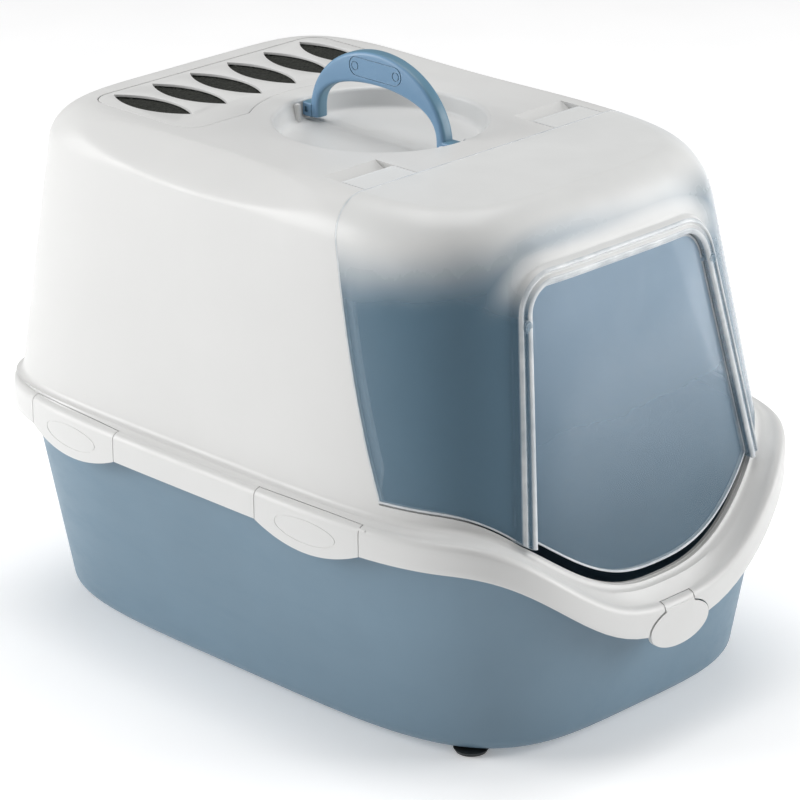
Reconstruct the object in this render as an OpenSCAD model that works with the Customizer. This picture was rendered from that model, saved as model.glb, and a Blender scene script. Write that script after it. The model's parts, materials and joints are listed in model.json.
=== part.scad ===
// Hooded cat litter box: open tray, lift-off hood with a deodorising filter and a
// carrying handle, lift-up translucent front with a swing flap, and five rim clips.
// +X is the right-hand side seen from the entrance, -Y is the entrance, +Z is up.
// The origin is on the floor, under the middle of the box.

/* [Rim] */
// Length over the rim, front to back
box_len = 560; // [550:1:570]
// Width over the rim
box_w = 400; // [396:1:404]
// Height of the rim's upper edge at the sides
rim_z = 181; // [179:0.5:183]
// Height of the skirt under the rim's upper edge
skirt_h = 23; // [22:0.5:25]
// How far the rim dips at the middle of the entrance
dip = 77.5; // [72:0.5:80]

/* [Hood] */
// Height of the hood's flat top
deck_z = 395.5; // [390:0.5:400]
// Wall thickness of the tray, hood and clips
wall = 2.4; // [2.2:0.1:2.6]
// Radius of the round handle recess
recess_r = 80; // [78:1:82]
// Depth of the handle recess
recess_depth = 16; // [15.5:0.5:17]

/* [Front] */
// Thickness of the translucent front and of the flap
clear_wall = 2.5; // [2.2:0.1:2.6]
// Height of the door opening's top edge
door_top = 345; // [343:0.5:348]
// Height of the flap's hinge axis
flap_axis_z = 320; // [318:0.5:322]

/* [Fittings] */
// Width of a side clip
clip_w = 100; // [94:1:102]
// Half length of the handle, from its middle to the outside of a leg
handle_reach = 70; // [69:0.5:71]
// Height of the raised handle above its pins
handle_rise = 58; // [54:1:60]
// Number of lens-shaped vents in the filter cover
vent_count = 6; // [4:2:8]

/* [Hidden] */
white = [0.90, 0.90, 0.89];
blue = [0.47, 0.60, 0.69];
milky = [0.86, 0.88, 0.89, 0.6];
smoky = [0.62, 0.70, 0.76, 0.45];

// ---- plan outlines: superellipses, one exponent for the front and one for the back
plan_steps = 7;
function corner_step(n, i) = pow(2, -1 / n) * sin(90 * i / plan_steps);
function quadrant(n) = concat(
    [for (i = [0:plan_steps]) let (e = corner_step(n, i)) [pow(1 - pow(e, n), 1 / n), e]],
    [for (i = [plan_steps - 1:-1:0]) let (e = corner_step(n, i)) [e, pow(1 - pow(e, n), 1 / n)]]);
function unit_plan(front_n, back_n) = let (b = quadrant(back_n), f = quadrant(front_n),
                                          m = 2 * plan_steps) concat(
    [for (i = [0:m]) b[i]],
    [for (i = [m - 1:-1:0]) [-b[i][0], b[i][1]]],
    [for (i = [1:m]) [-f[i][0], -f[i][1]]],
    [for (i = [m - 1:-1:1]) [f[i][0], -f[i][1]]]);
rim_front_n = 4.2;
rim_back_n = 5;
dome_front_n = 4.3;
dome_back_n = 6.5;
tray_front_n = 4;
rim_plan = unit_plan(rim_front_n, rim_back_n);
dome_plan = unit_plan(dome_front_n, dome_back_n);
tray_plan = unit_plan(tray_front_n, rim_back_n);
ring_len = len(rim_plan);

// ---- the rim, which dips in a smooth wave at the entrance
rim_w = box_w / 2;
latch_proud = 0.8;
rim_front = box_len / 2 - latch_proud;
rim_back = box_len / 2;
front_bow = 0.05;
dip_half = 176;
dip_shape = 1.35;
function smooth(t) = let (c = max(0, min(1, t))) c * c * (3 - 2 * c);
function dip_at(x) = dip * (1 - smooth(pow(min(1, abs(x) / dip_half), dip_shape)));
function dip_of(i) = rim_plan[i][1] < 0 ? dip_at(rim_w * rim_plan[i][0]) : 0;
function rim_xy(i, out) = let (u = rim_plan[i][0], v = rim_plan[i][1])
    [(rim_w + out) * u, v < 0 ? (rim_front + out) * v * (1 - front_bow * u * u) : (rim_back + out) * v];
function rim_ring(out, z) = [for (i = [0:ring_len - 1])
    let (p = rim_xy(i, out)) [p[0], p[1], z - dip_of(i)]];
// the rim's rounded upper edge, as steps of [inwards, down]
rim_edge = [[0, 3.5], [1.6, 1.2], [4, 0]];
// half width of the rim at a distance y from the middle
function rim_x(y) = let (n = y < 0 ? rim_front_n : rim_back_n, r = abs(y) / (y < 0 ? rim_front : rim_back))
    rim_w * pow(1 - pow(r, n), 1 / n);

// ---- the dome that the hood and its translucent front share
foot_z = rim_z + 3;
foot_dip = 0.91;
foot_out = 1.5;
side_top_w = 159;
side_lean = 0.14;
back_top = 250;
back_lean = 0.088;
front_top = 215.5;
front_lean = 0.2;
lean_z = 380;
front_lean_z = 342;
shoulder_r = 28;
brow_h = 43;
brow_in = 25;
scoop_depth = 3.5;
scoop_mid = 27;
scoop_half = 123;
function dome_w(z) = side_top_w + (lean_z - z) * side_lean;
function dome_front(z) = front_top + (front_lean_z - z) * front_lean;
function dome_back(z) = back_top + (lean_z - z) * back_lean;
function toward_front(v) = smooth((-v - 0.45) / 0.55);
function scoop(y, s) = scoop_depth * max(0, 1 - pow((y - scoop_mid) / scoop_half, 2)) * sin(2 * s);
function dome_point(i, z, inset, s) = let (u = dome_plan[i][0], v = dome_plan[i][1],
        y = v < 0 ? (dome_front(z) - inset) * v : (dome_back(z) - inset) * v)
    [(dome_w(z) - inset - scoop(y, s)) * u, y, z];
function shoulder_h(i, gap) = shoulder_r + (brow_h - shoulder_r) * toward_front(dome_plan[i][1]) - gap;
function shoulder_in(i, gap) = shoulder_r + (brow_in - shoulder_r) * toward_front(dome_plan[i][1]) - gap;
function foot_of(i) = foot_z - foot_dip * dip_of(i);
function dome_foot_ring(gap, up) = [for (i = [0:ring_len - 1]) dome_point(i, foot_of(i) + up, gap, 0)];
function dome_shoulder_ring(gap, s) = [for (i = [0:ring_len - 1])
    dome_point(i, deck_z - gap - shoulder_h(i, gap) * (1 - sin(s)),
               gap + shoulder_in(i, gap) * (1 - cos(s)), s)];
shoulder_angles = [0, 18, 36, 54, 72, 90];
function dome_rings(gap, up) = concat([dome_foot_ring(gap, up)],
    [for (s = shoulder_angles) dome_shoulder_ring(gap, s)]);

// ---- solids through stacks of rings
function flip(list) = [for (i = [len(list) - 1:-1:0]) list[i]];
function mid_z(ring) = let (zs = [for (p = ring) p[2]]) (max(zs) + min(zs)) / 2;
module loft(rings) {
    m = len(rings[0]);
    k = len(rings);
    points = concat([for (r = rings) each r],
                    [[0, 0, mid_z(rings[0])], [0, 0, mid_z(rings[k - 1])]]);
    function next(i) = (i + 1) % m;
    faces = concat(
        [for (i = [0:m - 1]) [k * m, i, next(i)]],
        [for (r = [0:k - 2], i = [0:m - 1]) [r * m + i, (r + 1) * m + i, (r + 1) * m + next(i)]],
        [for (r = [0:k - 2], i = [0:m - 1]) [r * m + i, (r + 1) * m + next(i), r * m + next(i)]],
        [for (i = [0:m - 1]) [k * m + 1, (k - 1) * m + next(i), (k - 1) * m + i]]);
    polyhedron(points, faces, convexity = 8);
}
module dome_solid(gap, up = -4) { loft(dome_rings(gap, up)); }
// one closed mesh, for thin shells that hold no bore
module moulded() { resize([0, 0, 0]) children(); }
// a prism along X, drawn by its outline in Y and Z
module along_x(x0, x1) {
    translate([x0, 0, 0]) rotate([90, 0, 90]) linear_extrude(x1 - x0) children();
}
// a prism along Y, drawn by its outline in X and Z
module along_y(y0, y1) {
    translate([0, y1, 0]) rotate([90, 0, 0]) linear_extrude(y1 - y0) children();
}
module both_sides() {
    children();
    mirror([1, 0, 0]) children();
}

// ---- where the translucent front meets the hood
seam_top_y = -88;
seam_low_y = -160;
seam = [[foot_z, seam_low_y], [234, -139], [277.5, -120], [340, -103], [deck_z, seam_top_y]];
function seam_y(z) = lookup(z, seam);
lap = 7.5;
lap_gap = 2.9;
lap_wall = 2.5;
lap_root = 1.2;
lap_join = 6;
sill_up = 3;
front_gap = 1.3;
front_corner_up = 11;
brow_cut_y = -152;
reach = 320;
module seam_front(shift) {
    polygon([[-reach, -20], [-reach, deck_z + 20], [seam_top_y + shift, deck_z + 20],
             each [for (p = flip(seam)) [p[1] + shift, p[0]]], [seam_low_y + shift, -20]]);
}
// the height of the dome's foot along the entrance
function sill_z(x) = foot_z - foot_dip * dip_at(x * rim_w / dome_w(foot_z));
// everything in front of the seam and above the sill; the lower edge may rise towards the corners
corner_fall = 0.26;
module front_region(shift, up, corner_up = -reach) {
    intersection() {
        along_x(-reach, reach) seam_front(shift);
        along_y(-reach, 0) polygon(concat(
            [for (x = [-rim_w - 20:4:rim_w + 20])
                [x, sill_z(x) + max(up, corner_up - corner_fall * dip_at(x))]],
            [[rim_w + 20, deck_z + 15], [-rim_w - 20, deck_z + 15]]));
    }
}
// the hole in the hood behind the translucent front, one lap smaller than the seam
brow_z = deck_z - 39.5;
brow_corner = 6;
cut_corner = 12;
cut_low_y = seam_low_y - lap - cut_corner;
module entrance_cut() {
    intersection() {
        front_region(0, sill_up + 0.5);
        along_x(-reach, reach) union() {
            polygon([[-reach, -20], [-reach, brow_z], [seam_y(brow_z) - lap - brow_corner, brow_z],
                     each [for (z = [brow_z - brow_corner, 310, 277.5, 234, foot_z + sill_up + cut_corner])
                         [seam_y(z) - lap, z]],
                     [cut_low_y, foot_z + sill_up], [cut_low_y, -20]]);
            polygon([[-reach, -20], [-reach, deck_z + 20], [brow_cut_y, deck_z + 20], [brow_cut_y, -20]]);
        }
    }
}

// ---- handle and its recess
handle_y = 19.5;
handle_axis_z = deck_z - 7.5;
handle_t = 11.5;
handle_leg = 9;
grip_h = 25;
grip_shape = 0.7;
handle_pin_r = 3;
handle_foot = 4.5;
socket_y = recess_r - 2.5;
handle_pin_end = socket_y + 8;
block_w = 12;
block_half = 5.5;
recess_floor = deck_z - recess_depth;
block_turn_r = 8.8;
socket_len = 9;
rib_x = 13;
rib_y = 75;
rib_r = 2.6;
socket_w = 22;
socket_low = 8;
socket_h = 15;
running = 0.05;

// ---- tab hinges of the translucent front
tab_x0 = 72;
tab_x1 = 123;
tab_axis_y = -64;
tab_axis_z = deck_z - 3.4;
tab_pin_r = 1.9;
tab_pin_out = 3;
tab_gap = 0.8;
pocket_depth = 9;
pocket_back = -46;

// ---- door opening and flap
flap_axis_y = -213.5;
flap_pin_r = 2.2;
flap_gap = 1.5;
// how far the flap's pins reach beyond the door opening, and their length
flap_pin_out = 7;
flap_pin_len = 16;
door_w_top = 87.5;
door_w_low = 114.7;
door_low_z = 168;
door_shoulder_z = 333;
door_fall = door_shoulder_z - door_low_z;
door_corner_r = 22;
frame_band = 13.5;
frame_out = 4.5;
frame_in = 6;
frame_foot_z = 168;
function door_w(z) = door_w_low + (door_w_top - door_w_low) * (z - door_low_z) / door_fall;
module rounded_head(half_top, half_low, top, low, r) {
    hull() {
        for (s = [-1, 1]) translate([s * (half_top - r), top - r]) circle(r, $fn = 32);
        polygon([[-half_low, low], [half_low, low], [half_low, low + 1], [-half_low, low + 1]]);
    }
}
module door_outline(grow, low = 60) {
    rounded_head(door_w(door_top) + 3 + grow, door_w(low) + grow,
                 door_top + grow, low, door_corner_r + grow);
}
flap_up = 12;
flap_reach = 124;
module flap_outline() {
    intersection() {
        door_outline(-flap_gap);
        polygon(concat([for (x = [-flap_reach:8:flap_reach]) [x, sill_z(x) + flap_up]],
                       [[flap_reach, deck_z], [-flap_reach, deck_z]]));
    }
}

// ---- filter compartment
cover_half = 118;
cover_front = 98.5;
cover_back = 212;
cover_arc_r = 98;
cover_corner_r = 18;
cover_t = 2.2;
cover_gap = 0.6;
cover_seat = 5;
pad_t = 9;
pad_top = deck_z - cover_t - 0.3;
bin_floor_z = pad_top - pad_t - 0.4;
module cover_outline(shrink) {
    difference() {
        translate([0, (cover_front + cover_back) / 2])
            offset(cover_corner_r - shrink, $fn = 40)
            square([2 * (cover_half - cover_corner_r), cover_back - cover_front - 2 * cover_corner_r],
                   center = true);
        translate([0, handle_y]) circle(cover_arc_r + shrink, $fn = 96);
    }
}
vent_len = 75;
vent_w = 25;
vent_y = 167;
vent_pitch = 37;
vent_fan = 2.3;
function lens_r(len, w) = (len * len / 4 + w * w / 4) / w;
module lens(len, w) {
    r = lens_r(len, w);
    intersection_for (s = [-1, 1]) translate([s * (r - w / 2), 0]) circle(r, $fn = 160);
}
module vents(grow) {
    for (i = [0:vent_count - 1]) {
        k = i - (vent_count - 1) / 2;
        translate([vent_pitch * k, vent_y]) rotate(-vent_fan * k)
            lens(vent_len + 2 * grow, vent_w + 2 * grow);
    }
}

// ---- rim clips
clip_front_y = -101;
clip_rear_y = 151;
clip_drop = 11;
clip_gap = 0.8;
clip_axis_in = 3.2;
hinge_drop = 2.8;
clip_axis_z = rim_z - hinge_drop;
block_h = 60;
inner_h = 70;
clip_pin_r = 1.3;
clip_pin_len = 5;
pin_root = 6;
clip_barrel_r = 3.9;
barrel_gap = 0.45;
lug_len = 7;
lug_half = 2.6;
clip_top_z = rim_z - 5.2;
skirt_z = rim_z - skirt_h;
// a side clip's own frame: X outwards, Y along its hinge, origin on the hinge axis
function clip_ends(y) = [rim_x(y - clip_w / 2) - clip_axis_in, rim_x(y + clip_w / 2) - clip_axis_in];
module at_clip(y) {
    e = clip_ends(y);
    translate([(e[0] + e[1]) / 2, y, clip_axis_z]) rotate(atan2(e[0] - e[1], clip_w)) children();
}
module rim_solid(out = 0) {
    loft(concat([rim_ring(out, rim_z - block_h)],
                [for (e = rim_edge) rim_ring(out - e[0], rim_z - e[1])],
                [dome_foot_ring(-foot_out, -0.2)]));
}
module clip_outline(grow) {
    half = clip_w / 2 + grow;
    top = 10;
    low = skirt_z - clip_axis_z;
    polygon(concat([[half, top], [half, low]],
        [for (t = [-1 + 1 / 8:1 / 8:1 - 1 / 8]) [-half * t, low - (clip_drop + grow) * (1 - t * t)]],
        [[-half, low], [-half, top]]));
}
// the hinge barrel and everything outside it, in a section across the hinge
module barrel_side(r, grow) {
    circle(r, $fn = 48);
    translate([-grow, -60]) square([60, 90]);
}
module side_clip(y) {
    color(white) {
        moulded() intersection() {
            difference() {
                rim_solid();
                loft([rim_ring(-wall, rim_z - inner_h), rim_ring(-wall, clip_top_z)]);
            }
            at_clip(y) intersection() {
                along_x(-10, 30) clip_outline(0);
                along_y(-clip_w, clip_w) barrel_side(clip_barrel_r, 0);
            }
        }
        at_clip(y) for (s = [-1, 1])
            translate([0, s * (clip_w / 2 + (clip_pin_len - pin_root) / 2), 0])
            rotate([90, 0, 0])
            cylinder(h = clip_pin_len + pin_root, r = clip_pin_r, center = true, $fn = 32);
    }
}
module clip_bores(y) {
    at_clip(y) for (s = [-1, 1])
        translate([0, s * (clip_w / 2 + clip_gap + lug_len / 2), 0])
        rotate([90, 0, 0]) cylinder(h = lug_len + 2 * clip_gap, r = clip_pin_r + running,
                                    center = true, $fn = 32);
}
module clip_lugs(y) {
    at_clip(y) for (s = [-1, 1])
        translate([0, s * (clip_w / 2 + clip_gap + lug_len / 2), 0])
        cube([2 * lug_half, lug_len, 2 * lug_half - 0.2], center = true);
}
module clip_notch(y) {
    at_clip(y) along_y(-clip_w / 2 - clip_gap, clip_w / 2 + clip_gap)
        barrel_side(clip_barrel_r + barrel_gap, 0.4);
}

// ---- front latch
latch_half = 31;
latch_low = 68;
latch_tall = 31;
latch_neck = 15;
latch_barrel_r = 3.6;
latch_gap = 1.2;
latch_lug_len = 9;
latch_lug_t = 4.4;
latch_lug_drop = 0.2;
latch_axis = [-(rim_front - clip_axis_in), rim_z - hinge_drop - dip + 0.4];
module latch_outline(grow) {
    polygon([for (a = [0:10:359]) [(latch_half + grow) * cos(a),
                                   latch_low + latch_tall / 2 + (latch_tall / 2 + grow) * sin(a)]]);
    translate([-latch_neck - grow, latch_low + latch_tall / 2])
        square([2 * (latch_neck + grow), latch_tall / 2 + 12]);
}
module latch_block(grow, r, back) {
    intersection() {
        along_y(-reach, -rim_front / 2) latch_outline(grow);
        translate([0, latch_axis[0], latch_axis[1]]) along_x(-60, 60) mirror([1, 0]) barrel_side(r, back);
    }
}
module latch_lug() {
    translate([latch_neck + latch_lug_len / 2 - 1, latch_axis[0], latch_axis[1] - latch_lug_drop])
        cube([latch_lug_len, latch_lug_t, latch_lug_t], center = true);
}
module latch_cylinders(half, r, inner) {
    for (s = [-1, 1]) translate([s * (half + inner) / 2, latch_axis[0], latch_axis[1]])
        rotate([0, 90, 0]) cylinder(h = half - inner, r = r, center = true, $fn = 32);
}

// ---- tray
tray_low_z = 3;
tray_w = 165;
tray_front = 245;
tray_back = 247;
tray_lean = 0.15;
tray_edge_r = 13;
tray_top_z = rim_z - 7;
lip_out = -3.4;
lip_h = 11;
function tray_point(i, z, inset) = let (u = tray_plan[i][0], v = tray_plan[i][1],
                                        g = tray_lean * (z - 12) - inset)
    [(tray_w + g) * u, (v < 0 ? tray_front : tray_back) * v + g * v, z];
function tray_ring(z, inset) = [for (i = [0:ring_len - 1]) tray_point(i, z, inset)];
function tray_edge_ring(a, z0, r, inset) = tray_ring(z0 + r * (1 - sin(a)), inset + r * (1 - cos(a)));
function tray_top_ring(z, inset) = [for (i = [0:ring_len - 1]) tray_point(i, z - dip_of(i), inset)];
edge_angles = [90, 60, 30, 0];
module tray() {
    color(blue) loft(concat(
        [for (a = edge_angles) tray_edge_ring(a, tray_low_z, tray_edge_r, 0)],
        [tray_top_ring(tray_top_z - wall, 0), rim_ring(lip_out - wall, tray_top_z - wall),
         rim_ring(lip_out - wall, tray_top_z - lip_h), rim_ring(lip_out, tray_top_z - lip_h),
         rim_ring(lip_out, tray_top_z - 1.5), rim_ring(lip_out - 1.5, tray_top_z),
         tray_top_ring(tray_top_z, wall - 1.2), tray_top_ring(tray_top_z - 2, wall)],
        [for (a = flip(edge_angles)) tray_edge_ring(a, tray_low_z + wall, tray_edge_r - 1, wall)]));
}

// ---- anti-slip feet
foot_x = 128;
foot_y = 196;
foot_r = 13;
module tray_feet() {
    color([0.16, 0.20, 0.21]) for (sx = [-1, 1], sy = [-1, 1])
        translate([sx * foot_x, sy * foot_y, 0])
        cylinder(h = tray_low_z, r1 = foot_r - 1.5, r2 = foot_r, $fn = 48);
}

// ---- hood
// the recess's inside, from its slightly raised middle out to the deck, as [radius, height]
recess_inside = [[0, recess_floor + 1.5], [recess_r - 6, recess_floor], [recess_r - 3.5, recess_floor + 4],
                 [recess_r - 1.5, deck_z - 1.5], [recess_r, deck_z]];
recess_outside = [[recess_r + 4, deck_z], [recess_r + 6, deck_z - 1], [recess_r + 1, deck_z - 6],
                  [recess_r - 4, recess_floor - wall], [0, recess_floor - wall]];
module recess_shell() {
    translate([0, handle_y, 0]) rotate_extrude($fn = 72) polygon(concat(recess_inside, recess_outside));
}
module recess_cut() {
    translate([0, handle_y, 0]) rotate_extrude($fn = 72)
        polygon(concat(recess_inside, [[recess_r, deck_z + 9], [0, deck_z + 9]]));
    // room for the handle's end blocks to turn
    translate([0, handle_y, handle_axis_z]) rotate([90, 0, 0])
        cylinder(h = 2 * (socket_y - 0.3), r = block_turn_r, center = true, $fn = 48);
}
module handle_sockets() {
    for (s = [0, 180]) translate([0, handle_y, 0]) rotate(s)
        translate([-socket_w / 2, socket_y, handle_axis_z - socket_low])
        cube([socket_w, socket_len, socket_h]);
}
slot_pitch = 17.5;
slot_w = 12;
slot_from = 26;
slot_margin = 14;
slot_pairs = 6;
// two upright ribs beside each socket
module socket_ribs() {
    for (s = [0, 180], side = [-1, 1]) translate([0, handle_y, 0]) rotate(s)
        translate([side * rib_x, rib_y, recess_floor - 1])
        cylinder(h = recess_depth - 1, r1 = rib_r, r2 = rib_r - 0.6, $fn = 24);
}
module filter_bin() {
    difference() {
        translate([0, 0, bin_floor_z - wall]) linear_extrude(deck_z - 1 - bin_floor_z + wall)
            cover_outline(-2);
        translate([0, 0, bin_floor_z]) linear_extrude(30) cover_outline(cover_seat);
    }
}
module bin_grille() {
    for (i = [-slot_pairs:slot_pairs - 1])
        translate([slot_pitch * (i + 0.5) - slot_w / 2, cover_front + slot_from, bin_floor_z - 10])
        cube([slot_w, cover_back - cover_front - slot_from - slot_margin, 20]);
}
module tab_pocket() {
    both_sides() {
        along_x(tab_x0 - tab_gap, tab_x1 + tab_gap)
            polygon([[pocket_back, deck_z + 1], [pocket_back, deck_z], [pocket_back - 12, deck_z - 6],
                     [pocket_back - 13, deck_z - pocket_depth], [seam_top_y - 5, deck_z - pocket_depth],
                     [seam_top_y - 5, deck_z + 1]]);
    }
}
module tab_pocket_walls() {
    both_sides() along_x(tab_x0 - 7, tab_x1 + 7)
        polygon([[pocket_back + 4, deck_z - 1], [pocket_back - 12, deck_z - pocket_depth - wall],
                 [seam_top_y - 8, deck_z - pocket_depth - wall], [seam_top_y - 8, deck_z - lap_gap - 1],
                 [seam_top_y + 1, deck_z - lap_gap - 1], [seam_top_y + 1, deck_z - 1]]);
}
module hood_shell() {
    loft(concat(
        [for (s = flip(shoulder_angles)) dome_shoulder_ring(wall, s)],
        [dome_foot_ring(wall, -wall), rim_ring(-wall, rim_z - wall - 0.4), rim_ring(-wall, skirt_z),
         rim_ring(0, skirt_z)],
        [for (e = rim_edge) rim_ring(-e[0], rim_z - e[1])],
        [dome_foot_ring(-foot_out, -0.2), dome_foot_ring(0, 1.8)],
        [for (s = shoulder_angles) dome_shoulder_ring(0, s)]));
}
module hood_body() {
    difference() {
        union() {
            difference() {
                hood_shell();
                front_region(0, sill_up);
            }
            difference() {
                union() {
                    difference() {
                        intersection() {
                            dome_solid(lap_root);
                            front_region(lap_join, -2);
                        }
                        front_region(0.4, sill_up - 0.4);
                    }
                    intersection() {
                        dome_solid(lap_gap);
                        front_region(lap_join - 1, -1.5);
                    }
                }
                dome_solid(lap_gap + lap_wall, -12);
                entrance_cut();
            }
            recess_shell();
            handle_sockets();
            filter_bin();
            tab_pocket_walls();
            intersection() {
                rim_solid(-0.5);
                both_sides() for (y = [clip_front_y, clip_rear_y]) clip_lugs(y);
            }
            both_sides() latch_lug();
        }
        recess_cut();
        translate([0, 0, deck_z - cover_t - 0.4]) linear_extrude(20) cover_outline(0);
        translate([0, 0, bin_floor_z]) linear_extrude(30) cover_outline(cover_seat);
        bin_grille();
        tab_pocket();
        both_sides() for (y = [clip_front_y, clip_rear_y]) clip_notch(y);
        latch_block(latch_gap, latch_barrel_r + barrel_gap, 0.4);
    }
}
module hood() {
    color(white) difference() {
        moulded() {
            socket_ribs();
            hood_body();
        }
        translate([0, handle_y, handle_axis_z]) rotate([90, 0, 0])
            cylinder(h = 2 * (handle_pin_end + 0.6), r = handle_pin_r + running, center = true, $fn = 48);
        both_sides() translate([tab_x0 - tab_pin_out - 1, tab_axis_y, tab_axis_z]) rotate([0, 90, 0])
            cylinder(h = tab_x1 - tab_x0 + 2 * tab_pin_out + 2, r = tab_pin_r + running, $fn = 32);
        both_sides() for (y = [clip_front_y, clip_rear_y]) clip_bores(y);
        latch_cylinders(latch_neck + 6, clip_pin_r + running, latch_neck);
    }
}

// ---- translucent front, with its tab hinges and raised door frame
tab_root_y = seam_top_y - 3;
tab_under_z = deck_z - clear_wall - 2;
tab_nose = [tab_axis_y + 2.3, deck_z - 2.4];
// a hook tab in section: a tongue from the shell to a rounded nose round its pin
module hook_tab() {
    polygon([[tab_root_y, deck_z - clear_wall], [tab_axis_y - 1.5, tab_under_z],
             [tab_axis_y + 1.2, tab_under_z], tab_nose, [tab_axis_y + 1.2, deck_z - 0.9],
             [tab_axis_y - 3, deck_z], [tab_root_y, deck_z]]);
}
module visor_shell() {
    difference() {
        union() {
            intersection() {
                difference() {
                    dome_solid(0);
                    dome_solid(clear_wall, -12);
                }
                front_region(-0.5, sill_up + front_gap, front_corner_up);
            }
            intersection() {
                difference() {
                    dome_solid(-frame_out);
                    dome_solid(frame_in, -12);
                }
                along_y(-reach, -150) difference() {
                    door_outline(frame_band - 3);
                    polygon(concat([for (x = [-180:4:180])
                                        [x, max(frame_foot_z, sill_z(x) + sill_up + front_gap)]],
                                   [[180, -20], [-180, -20]]));
                }
            }
            both_sides() along_x(tab_x0, tab_x1) hook_tab();
        }
        along_y(-reach, -150) door_outline(0);
    }
}
module front_visor() {
    color(milky) {
        difference() {
            moulded() visor_shell();
            translate([0, flap_axis_y, flap_axis_z]) rotate([0, 90, 0])
                cylinder(h = 2 * (door_w(flap_axis_z) + flap_pin_out + 1), r = flap_pin_r + running,
                         center = true, $fn = 32);
        }
        both_sides() translate([tab_x0 - tab_pin_out, tab_axis_y, tab_axis_z]) rotate([0, 90, 0])
            cylinder(h = tab_x1 - tab_x0 + 2 * tab_pin_out, r = tab_pin_r, $fn = 32);
    }
}

// ---- swing flap, with its pivot pins
module swing_flap() {
    pin_mid_x = door_w(flap_axis_z) + flap_pin_out - flap_pin_len / 2;
    color(smoky) {
        moulded() intersection() {
            difference() {
                dome_solid(1, -60);
                dome_solid(1 + clear_wall, -70);
            }
            along_y(-reach, -150) flap_outline();
        }
        for (s = [-1, 1]) translate([s * pin_mid_x, flap_axis_y, flap_axis_z]) rotate([0, 90, 0])
            cylinder(h = flap_pin_len, r = flap_pin_r, center = true, $fn = 32);
    }
}

// ---- carrying handle: an elliptical bail with a deeper grip
module bail_outline() {
    difference() {
        polygon(concat([for (a = [0:6:180]) [handle_reach * cos(a), handle_rise * sin(a)]],
                       [[-handle_reach, -handle_foot], [handle_reach, -handle_foot]]));
        polygon(concat([for (a = [0:6:180]) [(handle_reach - handle_leg) * cos(a),
                                             (handle_rise - grip_h) * pow(sin(a), grip_shape)]],
                       [[-handle_reach + handle_leg, -10], [handle_reach - handle_leg, -10]]));
    }
}
block_from = handle_reach - 2;
block_to = socket_y - 0.8;
module carry_handle() {
    color([0.47, 0.62, 0.73]) translate([0, handle_y, handle_axis_z]) {
        along_x(-handle_t / 2, handle_t / 2) bail_outline();
        for (s = [-1, 1]) {
            translate([0, s * (block_from + block_to) / 2, 0])
                cube([block_w, block_to - block_from, 2 * block_half], center = true);
            translate([0, s * (handle_pin_end + handle_reach) / 2, 0]) rotate([90, 0, 0])
                cylinder(h = handle_pin_end - handle_reach, r = handle_pin_r, center = true, $fn = 48);
        }
    }
}

// ---- filter cover and pad
module filter_cover() {
    color(white) translate([0, 0, deck_z - cover_t]) linear_extrude(cover_t) difference() {
        cover_outline(cover_gap);
        vents(0);
    }
}
module carbon_filter() {
    color([0.13, 0.15, 0.12]) translate([0, 0, pad_top - pad_t]) linear_extrude(pad_t)
        cover_outline(cover_seat + 0.8);
}

module clip_left_rear() { mirror([1, 0, 0]) side_clip(clip_rear_y); }
module clip_left_front() { mirror([1, 0, 0]) side_clip(clip_front_y); }
module clip_right_rear() { side_clip(clip_rear_y); }
module clip_right_front() { side_clip(clip_front_y); }

module front_latch() {
    color(white) {
        moulded() intersection() {
            difference() {
                union() {
                    rim_solid();
                    loft([rim_ring(latch_proud, rim_z - block_h), rim_ring(latch_proud, rim_z - 5.5),
                          rim_ring(0, rim_z - 4.5)]);
                }
                loft([rim_ring(-wall, rim_z - inner_h), rim_ring(-wall, clip_top_z)]);
            }
            latch_block(0, latch_barrel_r, 0);
        }
        latch_cylinders(latch_neck + 5, clip_pin_r, latch_neck - 5);
    }
}

tray();
tray_feet();
hood();
front_visor();
swing_flap();
carry_handle();
filter_cover();
carbon_filter();
clip_left_rear();
clip_left_front();
clip_right_rear();
clip_right_front();
front_latch();
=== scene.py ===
"""Looks of the hooded cat litter box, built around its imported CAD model.

Lengths are in millimetres while a piece is shaped, and in metres once it is placed.
The places and the driving sizes come from the frame: node boxes and joint positions.
"""
import json
import math

import bpy
import numpy as np
from mathutils import Matrix, Vector

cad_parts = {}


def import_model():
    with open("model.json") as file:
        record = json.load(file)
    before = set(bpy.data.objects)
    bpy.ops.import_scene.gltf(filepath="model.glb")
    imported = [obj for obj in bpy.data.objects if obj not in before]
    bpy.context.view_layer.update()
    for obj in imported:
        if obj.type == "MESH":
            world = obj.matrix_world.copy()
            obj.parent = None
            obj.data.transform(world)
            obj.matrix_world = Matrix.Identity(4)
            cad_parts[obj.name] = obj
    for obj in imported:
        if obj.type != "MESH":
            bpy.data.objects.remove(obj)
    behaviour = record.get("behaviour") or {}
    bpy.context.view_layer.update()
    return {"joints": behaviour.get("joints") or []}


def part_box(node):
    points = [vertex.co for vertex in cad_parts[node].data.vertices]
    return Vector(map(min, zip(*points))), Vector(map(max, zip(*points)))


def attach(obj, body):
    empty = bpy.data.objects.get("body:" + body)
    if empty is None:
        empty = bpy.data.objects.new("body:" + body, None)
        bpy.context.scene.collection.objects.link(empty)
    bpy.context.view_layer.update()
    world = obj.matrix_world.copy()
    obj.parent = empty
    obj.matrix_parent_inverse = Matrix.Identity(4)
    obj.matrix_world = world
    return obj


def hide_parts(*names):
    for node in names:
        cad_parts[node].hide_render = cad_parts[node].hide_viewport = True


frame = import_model()

MM = 0.001
JOINTS = {joint["name"]: joint for joint in frame["joints"]}


def box_mm(node):
    low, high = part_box(node)
    return low / MM, high / MM


def joint_mm(name):
    return Vector(JOINTS[name]["pos_m"]) / MM


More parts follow.
